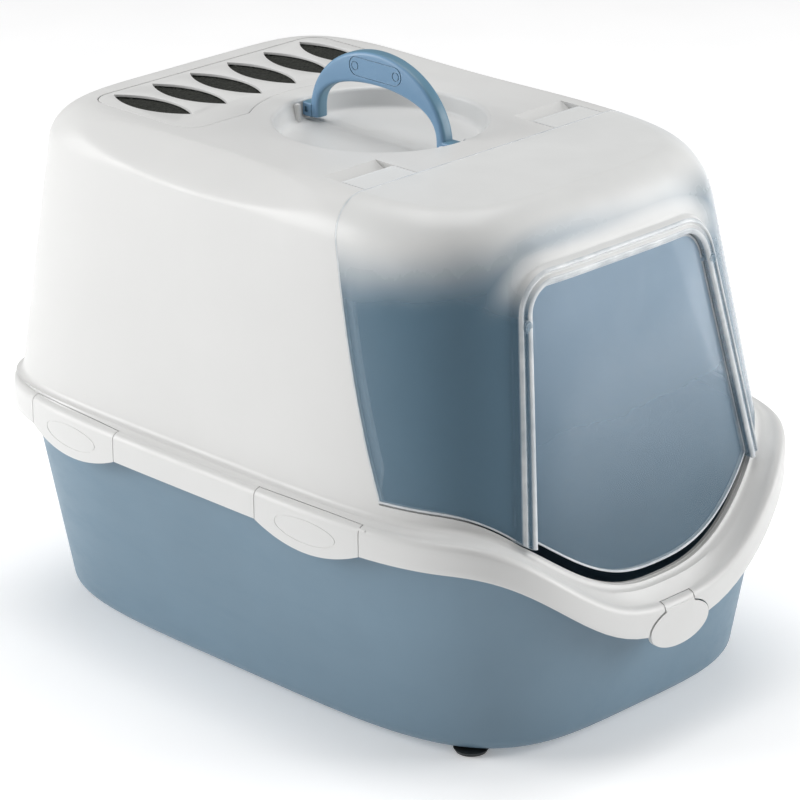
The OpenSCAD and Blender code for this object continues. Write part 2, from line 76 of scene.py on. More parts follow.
# ------------------------ driving sizes, from the frame
HOOD_LOW, HOOD_HIGH = box_mm("hood")
RIM_W = HOOD_HIGH.x
RIM_BACK = HOOD_HIGH.y
DECK_Z = HOOD_HIGH.z
CLIP_AXIS_Z = joint_mm("clip_left_rear_turn").z
LATCH_AXIS = joint_mm("latch_turn")
HINGE_DROP = 2.8
HINGE_IN = 3.2
LATCH_DROP = 2.4
SKIRT_H = 23
RIM_Z = CLIP_AXIS_Z + HINGE_DROP
RIM_FRONT = HINGE_IN - LATCH_AXIS.y
DIP = RIM_Z - LATCH_DROP - LATCH_AXIS.z
SKIRT_Z = RIM_Z - SKIRT_H
TRAY_Z = RIM_Z - 7
WALL = 2.4

# ------------------------ plan outlines
PLAN_STEPS = 24


def quadrant(power):
    """A quarter of a superellipse, from the X axis to the Y axis."""
    widest = 2 ** (-1 / power)
    rises = [widest * math.sin(math.radians(90 * i / PLAN_STEPS)) for i in range(PLAN_STEPS + 1)]
    half = [((1 - rise**power) ** (1 / power), rise) for rise in rises]
    return half + [(v, u) for u, v in half[-2::-1]]


def unit_plan(front_power, back_power):
    back = quadrant(back_power)
    front = quadrant(front_power)
    points = list(back)
    points += [(-u, v) for u, v in back[-2::-1]]
    points += [(-u, -v) for u, v in front[1:]]
    points += [(u, -v) for u, v in front[-2:0:-1]]
    return np.array(points)


RIM_PLAN = unit_plan(4.2, 5)
DOME_PLAN = unit_plan(4.3, 6.5)
TRAY_PLAN = unit_plan(4, 5)


def smooth(value):
    t = np.clip(value, 0, 1)
    return t * t * (3 - 2 * t)


# ------------------------ the rim, with its dip at the entrance
DIP_HALF = 176
DIP_SHAPE = 1.35
FRONT_BOW = 0.05


def dip_at(x):
    return DIP * (1 - smooth(np.minimum(1, np.abs(x) / DIP_HALF) ** DIP_SHAPE))


DIPS = np.where(RIM_PLAN[:, 1] < 0, dip_at(RIM_W * RIM_PLAN[:, 0]), 0)


def rim_ring(out, z):
    """A ring round the rim, out beyond its outer face and at height z before the dip."""
    u, v = RIM_PLAN.T
    y = np.where(v < 0, (RIM_FRONT + out) * v * (1 - FRONT_BOW * u * u), (RIM_BACK + out) * v)
    return np.column_stack([(RIM_W + out) * u, y, z - DIPS])


# ------------------------ the dome of the hood and its front
FOOT_Z = RIM_Z + 3
FOOT_DIP = 0.91
FOOT = FOOT_Z - FOOT_DIP * DIPS
LEAN_Z = 380
FRONT_LEAN_Z = 342
SHOULDER_R = 28
BROW_H = 43
BROW_IN = 25
TOWARD_FRONT = smooth((-DOME_PLAN[:, 1] - 0.45) / 0.55)
WALL_ROWS = 9
SHOULDER_ROWS = 24


def dome_w(z):
    return 159 + (LEAN_Z - z) * 0.14


def dome_front(z):
    return 215.5 + (FRONT_LEAN_Z - z) * 0.2


def dome_back(z):
    return 250 + (LEAN_Z - z) * 0.088


SCOOP_DEPTH = 9.0
SCOOP_MID = 60
SCOOP_HALF = 128


def scoop(y, turn):
    """How far the long crescent hollow in each shoulder goes in."""
    edge = 0.15 + 0.85 * ((y - SCOOP_MID) / SCOOP_HALF) ** 2
    return SCOOP_DEPTH * np.maximum(0, math.sin(2 * turn) - edge)


def dome_ring(z, inset, turn=0.0):
    u, v = DOME_PLAN.T
    y = np.where(v < 0, (dome_front(z) - inset) * v, (dome_back(z) - inset) * v)
    return np.column_stack([(dome_w(z) - inset - scoop(y, turn)) * u, y, z + 0 * u])


def shoulder_ring(gap, turn):
    height = SHOULDER_R + (BROW_H - SHOULDER_R) * TOWARD_FRONT - gap
    depth = SHOULDER_R + (BROW_IN - SHOULDER_R) * TOWARD_FRONT - gap
    z = DECK_Z - gap - height * (1 - math.sin(turn))
    return dome_ring(z, gap + depth * (1 - math.cos(turn)), turn)


def wall_rings(gap, up, rows=WALL_ROWS):
    """Rings up the dome's wall, from up above its foot to just below the shoulder."""
    low = FOOT + up
    high = shoulder_ring(gap, 0)[:, 2]
    return [dome_ring(low + (high - low) * i / rows, gap) for i in range(rows)]


def shoulder_rings(gap):
    return [shoulder_ring(gap, math.pi / 2 * i / SHOULDER_ROWS) for i in range(SHOULDER_ROWS + 1)]


def front_y(x, z, gap):
    """How far forward the dome's front lies at x and z, gap inside its outer face."""
    height = DECK_Z - gap - z
    over = BROW_H - gap
    inset = np.zeros_like(np.asarray(z, float)) + gap
    sine = 1 - height / over
    brow = (BROW_IN - gap) * (1 - np.sqrt(np.clip(1 - np.clip(sine, 0, 1) ** 2, 0, 1)))
    inset = inset + np.where(sine > 0, brow, 0)
    u = np.clip(np.abs(x) / (dome_w(z) - inset), 0, 1)
    return -(dome_front(z) - inset) * (1 - u**4.3) ** (1 / 4.3)


def quarter(steps):
    """(1 - cosine, 1 - sine) of evenly spaced angles from 0 to 90 degrees."""
    angles = [math.pi / 2 * i / steps for i in range(steps + 1)]
    return [(1 - math.cos(a), 1 - math.sin(a)) for a in angles]


# ------------------------ meshes
def new_mesh(points, faces):
    mesh = bpy.data.meshes.new("work")
    mesh.from_pydata([tuple(p) for p in points], [], faces)
    mesh.update()
    return mesh


def band_faces(rings, count):
    """The four-sided faces between rings of count points each."""
    faces = []
    for r in range(rings - 1):
        for i in range(count):
            j = (i + 1) % count
            faces.append((r * count + i, r * count + j, (r + 1) * count + j, (r + 1) * count + i))
    return faces


def loft(rings, fan=True):
    """A closed solid through rings of equal length, with a fan or one face over each end."""
    count = len(rings[0])
    points = [p for ring in rings for p in ring]
    faces = band_faces(len(rings), count)
    last = (len(rings) - 1) * count
    if not fan:
        faces.append(tuple(reversed(range(count))))
        faces.append(tuple(range(last, last + count)))
        return new_mesh(points, faces)
    for ring, base, turn in ((rings[0], 0, True), (rings[-1], last, False)):
        points.append((0, 0, (np.max(ring[:, 2]) + np.min(ring[:, 2])) / 2))
        middle = len(points) - 1
        for i in range(count):
            j = (i + 1) % count
            faces.append((middle, base + j, base + i) if turn else (middle, base + i, base + j))
    return new_mesh(points, faces)


def area(outline):
    return sum(a[0] * b[1] - b[0] * a[1] for a, b in zip(outline, outline[1:] + outline[:1])) / 2


def prism(outline, axis, low, high):
    """An outline in the other two coordinates, drawn along axis x, y or z from low to high."""
    place = {
        "x": lambda p, h: (h, p[0], p[1]),
        "y": lambda p, h: (p[0], h, p[1]),
        "z": lambda p, h: (p[0], p[1], h),
    }[axis]
    outline = [tuple(p) for p in outline]
    if (area(outline) < 0) != (axis == "y"):
        outline.reverse()
    return loft([[place(p, low) for p in outline], [place(p, high) for p in outline]], fan=False)


def revolve(profile, centre, steps=128, axis="z"):
    """A closed solid of revolution from (radius, height) points that begin and end on the axis."""
    rings = []
    for radius, height in profile[1:-1]:
        ring = []
        for i in range(steps):
            a = 2 * math.pi * i / steps
            ring.append((radius * math.cos(a), radius * math.sin(a), height))
        rings.append(ring)
    points = [p for ring in rings for p in ring]
    points += [(0, 0, profile[0][1]), (0, 0, profile[-1][1])]
    faces = band_faces(len(rings), steps)
    last = (len(rings) - 1) * steps
    for i in range(steps):
        j = (i + 1) % steps
        faces.append((len(points) - 2, j, i))
        faces.append((len(points) - 1, last + i, last + j))
    mesh = new_mesh(points, faces)
    turns = {
        "z": Matrix.Identity(4),
        "x": Matrix.Rotation(math.pi / 2, 4, "Y"),
        "y": Matrix.Rotation(-math.pi / 2, 4, "X"),
    }
    mesh.transform(Matrix.Translation(centre) @ turns[axis])
    return mesh


def rod(centre, axis, half, radius, edge=0.4, steps=40):
    """A round pin about a centre, with a small chamfer at each end."""
    lower = [(0, -half), (radius - edge, -half), (radius, edge - half)]
    return revolve(lower + [(r, -h) for r, h in reversed(lower)], centre, steps, axis)


def combine(first, second, operation):
    """Two closed meshes joined, cut or crossed. Both are used up."""
    holders = []
    for mesh in (first, second):
        holder = bpy.data.objects.new("work", mesh)
        bpy.context.scene.collection.objects.link(holder)
        holders.append(holder)
    step = holders[0].modifiers.new("step", "BOOLEAN")
    step.operation = operation
    step.solver = "MANIFOLD"
    step.object = holders[1]
    graph = bpy.context.evaluated_depsgraph_get()
    result = bpy.data.meshes.new_from_object(holders[0].evaluated_get(graph))
    for holder in holders:
        bpy.data.objects.remove(holder)
    for mesh in (first, second):
        bpy.data.meshes.remove(mesh)
    return result


def join(first, *others):
    for other in others:
        first = combine(first, other, "UNION")
    return first


def cut(first, *others):
    for other in others:
        first = combine(first, other, "DIFFERENCE")
    return first


def cross(first, *others):
    for other in others:
        first = combine(first, other, "INTERSECT")
    return first


def mirrored(mesh):
    """The same mesh on the other side of the middle plane."""
    copy = mesh.copy()
    copy.transform(Matrix.Scale(-1, 4, (1, 0, 0)))
    copy.flip_normals()
    return copy


def box_outline(x0, x1, z0, z1):
    return [(x0, z0), (x0, z1), (x1, z1), (x1, z0)]


def pair(mesh):
    return join(mirrored(mesh), mesh)


def rounded(points, radii, steps=8):
    """A closed outline whose corners are rounded to the given radii, 0 for a sharp one."""
    outline = []
    count = len(points)
    for i, radius in enumerate(radii):
        here = np.array(points[i], float)
        before = np.array(points[i - 1], float) - here
        after = np.array(points[(i + 1) % count], float) - here
        before /= np.linalg.norm(before)
        after /= np.linalg.norm(after)
        if radius == 0:
            outline.append(tuple(here))
            continue
        half = math.acos(float(np.clip(before @ after, -1, 1))) / 2
        reach = radius / math.tan(half)
        centre = here + (before + after) / np.linalg.norm(before + after) * radius / math.sin(half)
        start = here + before * reach - centre
        end = here + after * reach - centre
        a0 = math.atan2(start[1], start[0])
        sweep = (math.atan2(end[1], end[0]) - a0 + math.pi) % (2 * math.pi) - math.pi
        for k in range(steps + 1):
            a = a0 + sweep * k / steps
            outline.append((centre[0] + radius * math.cos(a), centre[1] + radius * math.sin(a)))
    return outline


def dome_solid(gap, up=-4):
    return loft(wall_rings(gap, up) + shoulder_rings(gap))


# ------------------------ the seam between hood and front
SEAM_TOP_Y = -88
SEAM_LOW_Z = 184
REACH = 320
LAP_GAP = 2.9
LAP_WALL = 2.5
SILL_UP = 3
FRONT_GAP = 1.3
CORNER_UP = 11
BROW_CUT_Y = -152
LAP = 7.5
CORNER_FALL = 0.26
SEAM_PLACES = ((SEAM_LOW_Z, -160), (234, -139), (277.5, -120), (340, -103), (395.5, SEAM_TOP_Y))
SEAM_CURVE = np.polyfit(*zip(*SEAM_PLACES), 3)
SEAM_HEIGHTS = [SEAM_LOW_Z + (395.5 - SEAM_LOW_Z) * i / 16 for i in range(17)]


def seam_y(z):
    """The seam on the side walls: a gentle curve from the deck down to the rim."""
    return float(np.polyval(SEAM_CURVE, z))


def seam_outline(shift):
    """What lies in front of the seam, in Y and Z."""
    curve = [(seam_y(z) + shift, z) for z in reversed(SEAM_HEIGHTS)]
    top = [(-REACH, -20), (-REACH, DECK_Z + 20), (SEAM_TOP_Y + shift, DECK_Z + 20)]
    return top + curve + [(curve[-1][0], -20)]


def sill_z(x):
    """The height of the dome's foot along the entrance."""
    return FOOT_Z - FOOT_DIP * dip_at(x * RIM_W / dome_w(FOOT_Z))


def front_region(shift, up, corner_up=-REACH):
    """All in front of the seam and above the sill. The lower edge may rise to the corners."""
    low = [(x, float(sill_z(x) + max(up, corner_up - CORNER_FALL * dip_at(x))))
           for x in np.linspace(-220, 220, 181)]
    upper = prism(low + [(220, DECK_Z + 15), (-220, DECK_Z + 15)], "y", -REACH, 0)
    return cross(prism(seam_outline(shift), "x", -REACH, REACH), upper)


def entrance_region():
    """The hood's open front: its side edges run behind the seam and curve into the sill."""
    brow = DECK_Z - 39.5
    side = [(seam_y(z) - LAP, z) for z in np.linspace(brow - 12, 212, 12)]
    corners = [(-REACH, -20), (-REACH, brow), (seam_y(brow) - LAP, brow)]
    foot = FOOT_Z + SILL_UP + 0.8
    outline = corners + side + [(seam_y(foot) - LAP, foot), (-215, foot), (-215, -20)]
    radii = [0, 0, 8] + [0] * len(side) + [13, 0, 0]
    sides = prism(rounded(outline, radii), "x", -REACH, REACH)
    above = box_outline(-REACH, BROW_CUT_Y, -20, DECK_Z + 20)
    sides = join(sides, prism(above, "x", -REACH, REACH))
    return cross(sides, front_region(0, SILL_UP + 0.5, CORNER_UP - 1.0))


# ------------------------ hood
HANDLE_Y = joint_mm("handle_fold").y
HANDLE_Z = joint_mm("handle_fold").z
RECESS_R = 80
RECESS_FLOOR = DECK_Z - 16
SOCKET_Y = RECESS_R - 2.5
RIB_X = 13
RIB_Y = 75
RIB_R = 2.6
PIN_GAP = 0.05
HANDLE_PIN_R = 3
TAB_X = (72, 123)
TAB_PIN_R = 1.9
POCKET_DEPTH = 9
SLOT_PITCH = 17.5
TAB_AXIS = joint_mm("visor_lift")
POCKET_BACK = -46
COVER_LOW, COVER_HIGH = box_mm("filter_cover")
PAD_LOW, PAD_HIGH = box_mm("carbon_filter")
BIN_FLOOR = PAD_LOW.z - 0.4
RIM_ROUND = 5.5
LEDGE_SAG = 0.055


def rim_profile():
    """Rings from the skirt's lower edge over the rounded rim to the dome's foot."""
    rings = [rim_ring(-0.8, SKIRT_Z), rim_ring(-0.2, SKIRT_Z + 0.3), rim_ring(0, SKIRT_Z + 1)]
    for i in range(1, 4):
        rings.append(rim_ring(0, SKIRT_Z + 1 + i * (RIM_Z - RIM_ROUND - SKIRT_Z - 1) / 4))
    rings += [rim_ring(-RIM_ROUND * c, RIM_Z - RIM_ROUND * s) for c, s in quarter(6)]
    start = rim_ring(-RIM_ROUND, RIM_Z)
    fillet = 4.0
    heel = FOOT - 0.4
    end = dome_ring(heel, -fillet)
    for i in range(1, 6):
        t = i / 6
        ring = start + (end - start) * t
        ring[:, 2] -= LEDGE_SAG * np.hypot(*(end - start)[:, :2].T) * 4 * t * (1 - t)
        rings.append(ring)
    return rings + [dome_ring(heel + fillet * c, -fillet * s) for c, s in quarter(6)]


def hood_shell():
    inner = list(reversed(wall_rings(WALL, -WALL) + shoulder_rings(WALL)))
    under = [rim_ring(-WALL, RIM_Z - WALL - 0.4), rim_ring(-WALL, SKIRT_Z)]
    return loft(inner + under + rim_profile() + wall_rings(0, 4) + shoulder_rings(0))


def lap_band():
    root = cut(cross(dome_solid(1.2), front_region(6, -2)), front_region(0.4, SILL_UP - 0.4))
    band = join(root, cross(dome_solid(LAP_GAP), front_region(5, -1.5)))
    return cut(band, dome_solid(LAP_GAP + LAP_WALL, -12), entrance_region())


def recess_profile(inner):
    """(radius, height) points of the handle recess: its hollow, or the bowl round it."""
    lip = 3.5
    heel = 4.0
    grow = 0 if inner else WALL
    floor_z = RECESS_FLOOR - grow
    points = [(0, floor_z + 1.2), (20, floor_z + 1.0), (RECESS_R - 16, floor_z)]
    points += [(RECESS_R - 3.4 - heel * s + grow, floor_z + heel * c) for c, s in quarter(6)]
    points += [(RECESS_R - 1.5 + lip * c + grow, DECK_Z - lip * s) for c, s in quarter(6)]
    if inner:
        points += [(RECESS_R + lip, DECK_Z + 9), (0, DECK_Z + 9)]
    else:
        points[-7:] = [(RECESS_R + 1 + grow, DECK_Z - 6), (RECESS_R + 8, DECK_Z - 0.6)]
        points += [(0, DECK_Z - 0.6)]
    return points


def cover_block(shrink, z0, z1):
    return prism(cover_outline(shrink), "z", z0, z1)


def cover_outline(shrink):
    """The filter cover's outline: a rounded oblong with a bay round the handle recess."""
    half = COVER_HIGH.x + 0.6 - shrink
    back = COVER_HIGH.y + 0.6 - shrink
    front = COVER_LOW.y - 0.6 + shrink
    bay = 98 + shrink
    corner = 18 - shrink
    bay_half = math.asin(min(1, math.sqrt(bay**2 - (front - HANDLE_Y) ** 2) / bay))
    points = []
    for cx, cy, a0 in ((half - corner, front + corner, -90), (half - corner, back - corner, 0),
                       (corner - half, back - corner, 90), (corner - half, front + corner, 180)):
        for k in range(9):
            a = math.radians(a0 + 90 * k / 8)
            points.append((cx + corner * math.cos(a), cy + corner * math.sin(a)))
    for k in range(33):
        a = -bay_half + 2 * bay_half * k / 32
        points.append((bay * math.sin(a), HANDLE_Y + bay * math.cos(a)))
    return points


def clip_frame(joint):
    """From a clip's own frame, with X outwards and Y along its hinge, to the row frame."""
    pos = joint_mm(joint)
    axis = Vector(JOINTS[joint]["axis"])
    along = axis if axis.y > 0 else -axis
    out = along.cross(Vector((0, 0, 1)))
    if out.x * pos.x < 0:
        out = -out
        along = -along
    turn = Matrix((out, along, (0, 0, 1))).transposed()
    return Matrix.Translation(pos) @ turn.to_4x4()


CLIP_W = 100
CLIP_GAP = 0.8
CLIP_DROP = 11
BARREL_R = 3.9
BARREL_GAP = 0.45
PIN_R = 1.3
CLIP_JOINTS = ("clip_right_rear_turn", "clip_right_front_turn")


def barrel_side(r, grow):
    """In a section across a hinge: the barrel, and everything outside it."""
    arc = [(r * math.cos(a), r * math.sin(a)) for a in np.radians(np.arange(96, 265, 12))]
    return [(60, 30), (-grow, 30)] + [(min(x, -grow), z) for x, z in arc] + [(-grow, -60), (60, -60)]


def in_clip(joint, mesh):
    mesh.transform(clip_frame(joint))
    return mesh


def clip_notch(joint):
    half = CLIP_W / 2 + CLIP_GAP
    return in_clip(joint, prism(barrel_side(BARREL_R + BARREL_GAP, 0.4), "y", -half, half))


def clip_lugs(joint):
    half = CLIP_W / 2 + CLIP_GAP
    lugs = [prism([(-2.6, -2.5), (2.6, -2.5), (2.6, 2.5), (-2.6, 2.5)], "y", *ends)
            for ends in ((half, half + 7), (-half - 7, -half))]
    lugs = join(*lugs)
    bores = [rod((0, s * (half + 3.5), 0), "y", 4.5, PIN_R + PIN_GAP, 0.1) for s in (-1, 1)]
    return in_clip(joint, cut(lugs, *bores))


def rim_block(out=0.0):
    """The solid inside the rim's outer face, from under the skirt up to the dome's foot."""
    return loft([rim_ring(out, RIM_Z - 60)] + [shift_ring(ring, out) for ring in rim_profile()[2:]])


def shift_ring(ring, out):
    """A ring moved out along the line from the middle, by the same share as the rim."""
    moved = ring.copy()
    moved[:, :2] *= 1 + out / RIM_W
    return moved


LATCH_LOW, LATCH_HIGH = box_mm("front_latch")
LATCH_BARREL = 3.6
LATCH_GAP = 1.2
LATCH_NECK = 15
LATCH_HALF = 31
LATCH_TALL = 15.5


def latch_outline(grow):
    half = LATCH_HALF + grow
    tall = LATCH_TALL + grow
    middle = LATCH_LOW.z + LATCH_TALL
    neck = LATCH_NECK + grow
    join_a = math.acos(neck / half)
    arc = [math.pi - join_a + (math.pi + 2 * join_a) * k / 60 for k in range(61)]
    outline = [(half * math.cos(a), middle + tall * math.sin(a)) for a in arc]
    return outline + [(neck, middle + 28), (-neck, middle + 28)]


def latch_block(grow, r, back):
    block = prism(latch_outline(grow), "y", -REACH, -RIM_FRONT / 2)
    section = [(LATCH_AXIS.y - y, LATCH_AXIS.z + z) for y, z in barrel_side(r, back)]
    return cross(block, prism(section, "x", -60, 60))


def over_recess(mesh, turn):
    """A mesh made beside the handle's first socket, moved to one of the two sockets."""
    mesh.transform(Matrix.Translation((0, HANDLE_Y, 0)) @ Matrix.Rotation(turn, 4, "Z"))
    return mesh


def handle_sockets():
    outline = box_outline(-11, 11, HANDLE_Z - 8.4, DECK_Z - 0.5)
    return [over_recess(prism(outline, "y", SOCKET_Y, SOCKET_Y + 9), turn) for turn in (0, math.pi)]


def socket_ribs():
    top = DECK_Z - 2
    profile = [(0, RECESS_FLOOR - 1), (RIB_R, RECESS_FLOOR - 1), (RIB_R, top - 1.6),
               (RIB_R - 0.7, top - 0.4), (RIB_R - 1.8, top), (0, top)]
    return [over_recess(revolve(profile, (x, RIB_Y, 0), 32), turn)
            for turn in (0, math.pi) for x in (-RIB_X, RIB_X)]


def tab_pockets():
    """The hollow of both tab pockets, and the walls round them."""
    low = DECK_Z - POCKET_DEPTH
    under = low - WALL
    ledge = DECK_Z - 3.9
    walls = [(POCKET_BACK + 4, DECK_Z - 1), (POCKET_BACK - 12, under), (SEAM_TOP_Y - 8, under),
             (SEAM_TOP_Y - 8, ledge), (SEAM_TOP_Y + 1, ledge), (SEAM_TOP_Y + 1, DECK_Z - 1)]
    hollow = [(POCKET_BACK, DECK_Z + 2), (POCKET_BACK, DECK_Z), (POCKET_BACK - 12, DECK_Z - 6),
              (POCKET_BACK - 13, low), (SEAM_TOP_Y - 5, low), (SEAM_TOP_Y - 5, DECK_Z + 2)]
    hollow = rounded(hollow, [0, 2, 0, 0, 0, 0], 4)
    hollow = prism(hollow, "x", TAB_X[0] - 0.8, TAB_X[1] + 0.8)
    return pair(hollow), pair(prism(walls, "x", TAB_X[0] - 7, TAB_X[1] + 7))


def grille_slots():
    slots = []
    for i in range(12):
        x = SLOT_PITCH * (i - 5.5)
        slot = [(x - 6, COVER_LOW.y + 26), (x + 6, COVER_LOW.y + 26),
                (x + 6, COVER_HIGH.y - 14), (x - 6, COVER_HIGH.y - 14)]
        slots.append(prism(rounded(slot, [5] * 4, 5), "z", BIN_FLOOR - 10, BIN_FLOOR + 6))
    return slots


def hood_mesh():
    shell = cut(hood_shell(), front_region(0, SILL_UP, CORNER_UP - 1.5))
    hood = join(shell, lap_band(), revolve(recess_profile(False), (0, HANDLE_Y, 0)), *handle_sockets())
    basket = cut(cover_block(-2, BIN_FLOOR - WALL, DECK_Z - 1), cover_block(5, BIN_FLOOR, DECK_Z + 9))
    pocket, pocket_walls = tab_pockets()
    hood = join(hood, basket, pocket_walls)
    for joint in CLIP_JOINTS:
        hood = join(hood, pair(cross(clip_lugs(joint), rim_block(-0.5))))
    hood = join(cut(hood, revolve(recess_profile(True), (0, HANDLE_Y, 0))), *socket_ribs())
    hood = cut(hood, rod((0, HANDLE_Y, HANDLE_Z), "y", SOCKET_Y - 0.3, 8.8, 0.2, 64),
               cover_block(0, COVER_LOW.z - 0.4, DECK_Z + 9), cover_block(5, BIN_FLOOR, DECK_Z + 9.5),
               *grille_slots(), pocket)
    for joint in CLIP_JOINTS:
        hood = cut(hood, pair(clip_notch(joint)))
    handle_bore = rod((0, HANDLE_Y, HANDLE_Z), "y", SOCKET_Y + 8.6, HANDLE_PIN_R + PIN_GAP, 0.1, 48)
    hood = cut(hood, latch_block(LATCH_GAP, LATCH_BARREL + BARREL_GAP, 0.4), handle_bore)
    tab_bore = rod((sum(TAB_X) / 2, TAB_AXIS.y, TAB_AXIS.z), "x", 29.5, TAB_PIN_R + PIN_GAP, 0.1)
    return cut(hood, pair(tab_bore))


# ------------------------ translucent front
DOOR_TOP = 345
DOOR_CORNER = 22
CORNER_STEPS = 16
FRAME_LOW = 160
FRAME_FOOT = 168
FLAP_AXIS = joint_mm("flap_swing")
FLAP_PIN_R = 2.2
FLAP_PIN_OUT = 7
CLEAR_WALL = 2.5


def door_half(z):
    """Half the door's width at height z."""
    return 87.5 + 27.2 * (333 - z) / 165


def door_outline(grow, low=60.0):
    """The door's outline in X and Z, grown outwards."""
    top = DOOR_TOP + grow
    points = [(-door_half(low) - grow, low), (door_half(low) + grow, low),
              (door_half(top) + 3 + grow, top), (-door_half(top) - 3 - grow, top)]
    return rounded(points, [0, 0, DOOR_CORNER + grow, DOOR_CORNER + grow], CORNER_STEPS)


# sections round the door, as (outwards from its edge, in from the dome's face)
FRAME_SECTION = [
    (14.5, 0.8), (13, -0.2), (11.9, -1.5), (11.3, -3.2), (10.4, -4.1), (9.3, -4.5),
    (8.1, -4.4), (7.3, -3.6), (6.4, -3.3), (5.5, -3.6), (4.6, -4.3), (3.2, -4.5),
    (1.4, -4.3), (0.4, -3.6), (0, -2.6), (0, 4.2), (0.5, 5.2), (1.5, 5.6),
    (2.5, 5.2), (3, 4.2), (3.2, 2.4), (14.5, 2.2)]
# the two beads below sit on the frame's ridges and carry painted edge highlights
OUTER_BEAD = [
    (11.2, -3.0), (10.6, -4.2), (9.6, -4.85), (8.6, -4.85), (7.9, -4.3), (8.0, -3.7), (11.0, -2.8)]
INNER_BEAD = [
    (4.4, -4.0), (4.0, -4.6), (3.2, -4.85), (1.8, -4.75), (0.6, -4.2),
    (-0.2, -3.4), (-0.2, -2.4), (0.2, -2.4), (0.8, -3.4), (4.2, -3.5)]


def frame_sweep(section):
    """A section swept round the door on the dome."""
    loops = []
    for x, z, out_x, out_z in frame_stations():
        spots = [(x + out_x * grow, z + out_z * grow, gap) for grow, gap in section]
        loops.append([(px, float(front_y(px, pz, gap)), pz) for px, pz, gap in spots])
    return loft(loops, fan=False)


def on_line(start, end, steps, count):
    """The points at the given steps of count from start to end."""
    return [tuple(a + (b - a) * (k / count) for a, b in zip(start, end)) for k in steps]


def frame_stations():
    """(x, z, outward x, outward z) round the door, from its left foot over the top to its right."""
    outline = door_outline(0, FRAME_LOW)
    left = outline[:-CORNER_STEPS - 2:-1]
    right = outline[CORNER_STEPS + 2:1:-1]
    path = on_line(outline[0], left[0], range(28), 28) + left
    path += on_line(left[-1], right[0], range(1, 24), 24) + right
    path += on_line(right[-1], outline[1], range(1, 29), 28)
    stations = []
    for i, (x, z) in enumerate(path):
        x0, z0 = path[max(0, i - 1)]
        x1, z1 = path[min(len(path) - 1, i + 1)]
        length = math.hypot(x1 - x0, z1 - z0)
        stations.append((x, z, -(z1 - z0) / length, (x1 - x0) / length))
    return stations


def frame_room():
    """What the frame may fill: everything above a foot that follows the sill."""
    foot = [(x, max(FRAME_FOOT, float(sill_z(x)) + SILL_UP + FRONT_GAP))
            for x in np.linspace(-180, 180, 91)]
    return prism(foot + [(180, 420), (-180, 420)], "y", -REACH, -100)


def visor_edge_mesh():
    """Pieces that carry painted edge highlights: two beads on the frame, and a strip along the front's
    own cut edge.
    """
    beads = join(frame_sweep(OUTER_BEAD), frame_sweep(INNER_BEAD))
    beads = cross(beads, frame_room())
    skin = cut(dome_solid(-0.15), dome_solid(2.65, -12))
    strip = cross(skin, front_region(-0.4, SILL_UP + 1.25, CORNER_UP - 0.05))
    strip = cut(strip, front_region(-1.7, SILL_UP + 2.7, CORNER_UP + 1.4))
    strip = cut(strip, prism(door_outline(8), "y", -REACH, -150))
    return join(beads, strip)


def visor_mesh():
    shell = cut(dome_solid(0), dome_solid(CLEAR_WALL, -12))
    visor = cross(shell, front_region(-0.5, SILL_UP + FRONT_GAP, CORNER_UP))
    visor = cut(visor, prism(door_outline(4), "y", -REACH, -150))
    visor = join(visor, cross(frame_sweep(FRAME_SECTION), frame_room()))
    root, nose = SEAM_TOP_Y - 3, TAB_AXIS.y
    tab = [(root, DECK_Z - CLEAR_WALL), (nose - 1.5, DECK_Z - 4.5), (nose + 1.2, DECK_Z - 4.5),
           (nose + 2.3, DECK_Z - 2.4), (nose + 1.2, DECK_Z - 0.9), (nose - 3, DECK_Z - 0.02),
           (root, DECK_Z - 0.02)]
    tab = prism(rounded(tab, [0, 0, 1.2, 1, 1.2, 4, 0], 5), "x", *TAB_X)
    pin_half = (TAB_X[1] - TAB_X[0]) / 2 + 3
    pin = rod((sum(TAB_X) / 2, TAB_AXIS.y, TAB_AXIS.z), "x", pin_half, TAB_PIN_R)
    visor = join(visor, pair(join(tab, pin)))
    boss_x = door_half(FLAP_AXIS.z) + FLAP_PIN_OUT
    boss_y = float(front_y(boss_x, FLAP_AXIS.z, -4.4)) + 2.2
    visor = join(visor, pair(rod((boss_x, boss_y, FLAP_AXIS.z), "y", 3.2, 4.4, 1.2)))
    bore = rod((door_half(FLAP_AXIS.z), FLAP_AXIS.y, FLAP_AXIS.z), "x", 8, FLAP_PIN_R + PIN_GAP, 0.1)
    return cut(visor, pair(bore))


# ------------------------ flap
FLAP_UP = 12


def flap_block(shrink=0.0):
    """The flap's outline as a prism: the door's outline above a line that follows the sill."""
    bottom = [(x, float(sill_z(x)) + FLAP_UP + shrink) for x in np.linspace(-122, 122, 83)]
    body = prism(door_outline(-1.5 - shrink), "y", -REACH, -150)
    return cross(body, prism(bottom + [(123, 400), (-123, 400)], "y", -REACH - 1, -149))


def flap_edge_mesh():
    """The flap's slim bright rim."""
    skin = cut(dome_solid(0.85, -60), dome_solid(3.65, -70))
    # A slim rim round the flap, which carries painted edge highlights.
    return cut(cross(skin, flap_block(-0.12)), flap_block(1.5))


def flap_mesh():
    shell = cut(dome_solid(1, -60), dome_solid(3.5, -70))
    flap = cross(shell, flap_block())
    pin_x = door_half(FLAP_AXIS.z) + FLAP_PIN_OUT - 8
    pin = rod((pin_x, FLAP_AXIS.y, FLAP_AXIS.z), "x", 8, FLAP_PIN_R)
    return join(flap, pair(pin))


# ------------------------ handle
HANDLE_LOW, HANDLE_HIGH = box_mm("carry_handle")
BAIL_OUT = 70
BAIL_RISE = HANDLE_HIGH.z - HANDLE_Z
BAIL_T = 11.5
BAIL_LEG = 9
GRIP_H = 25
GRIP_GROOVE = 0.7
HANDLE_FOOT = 4.5


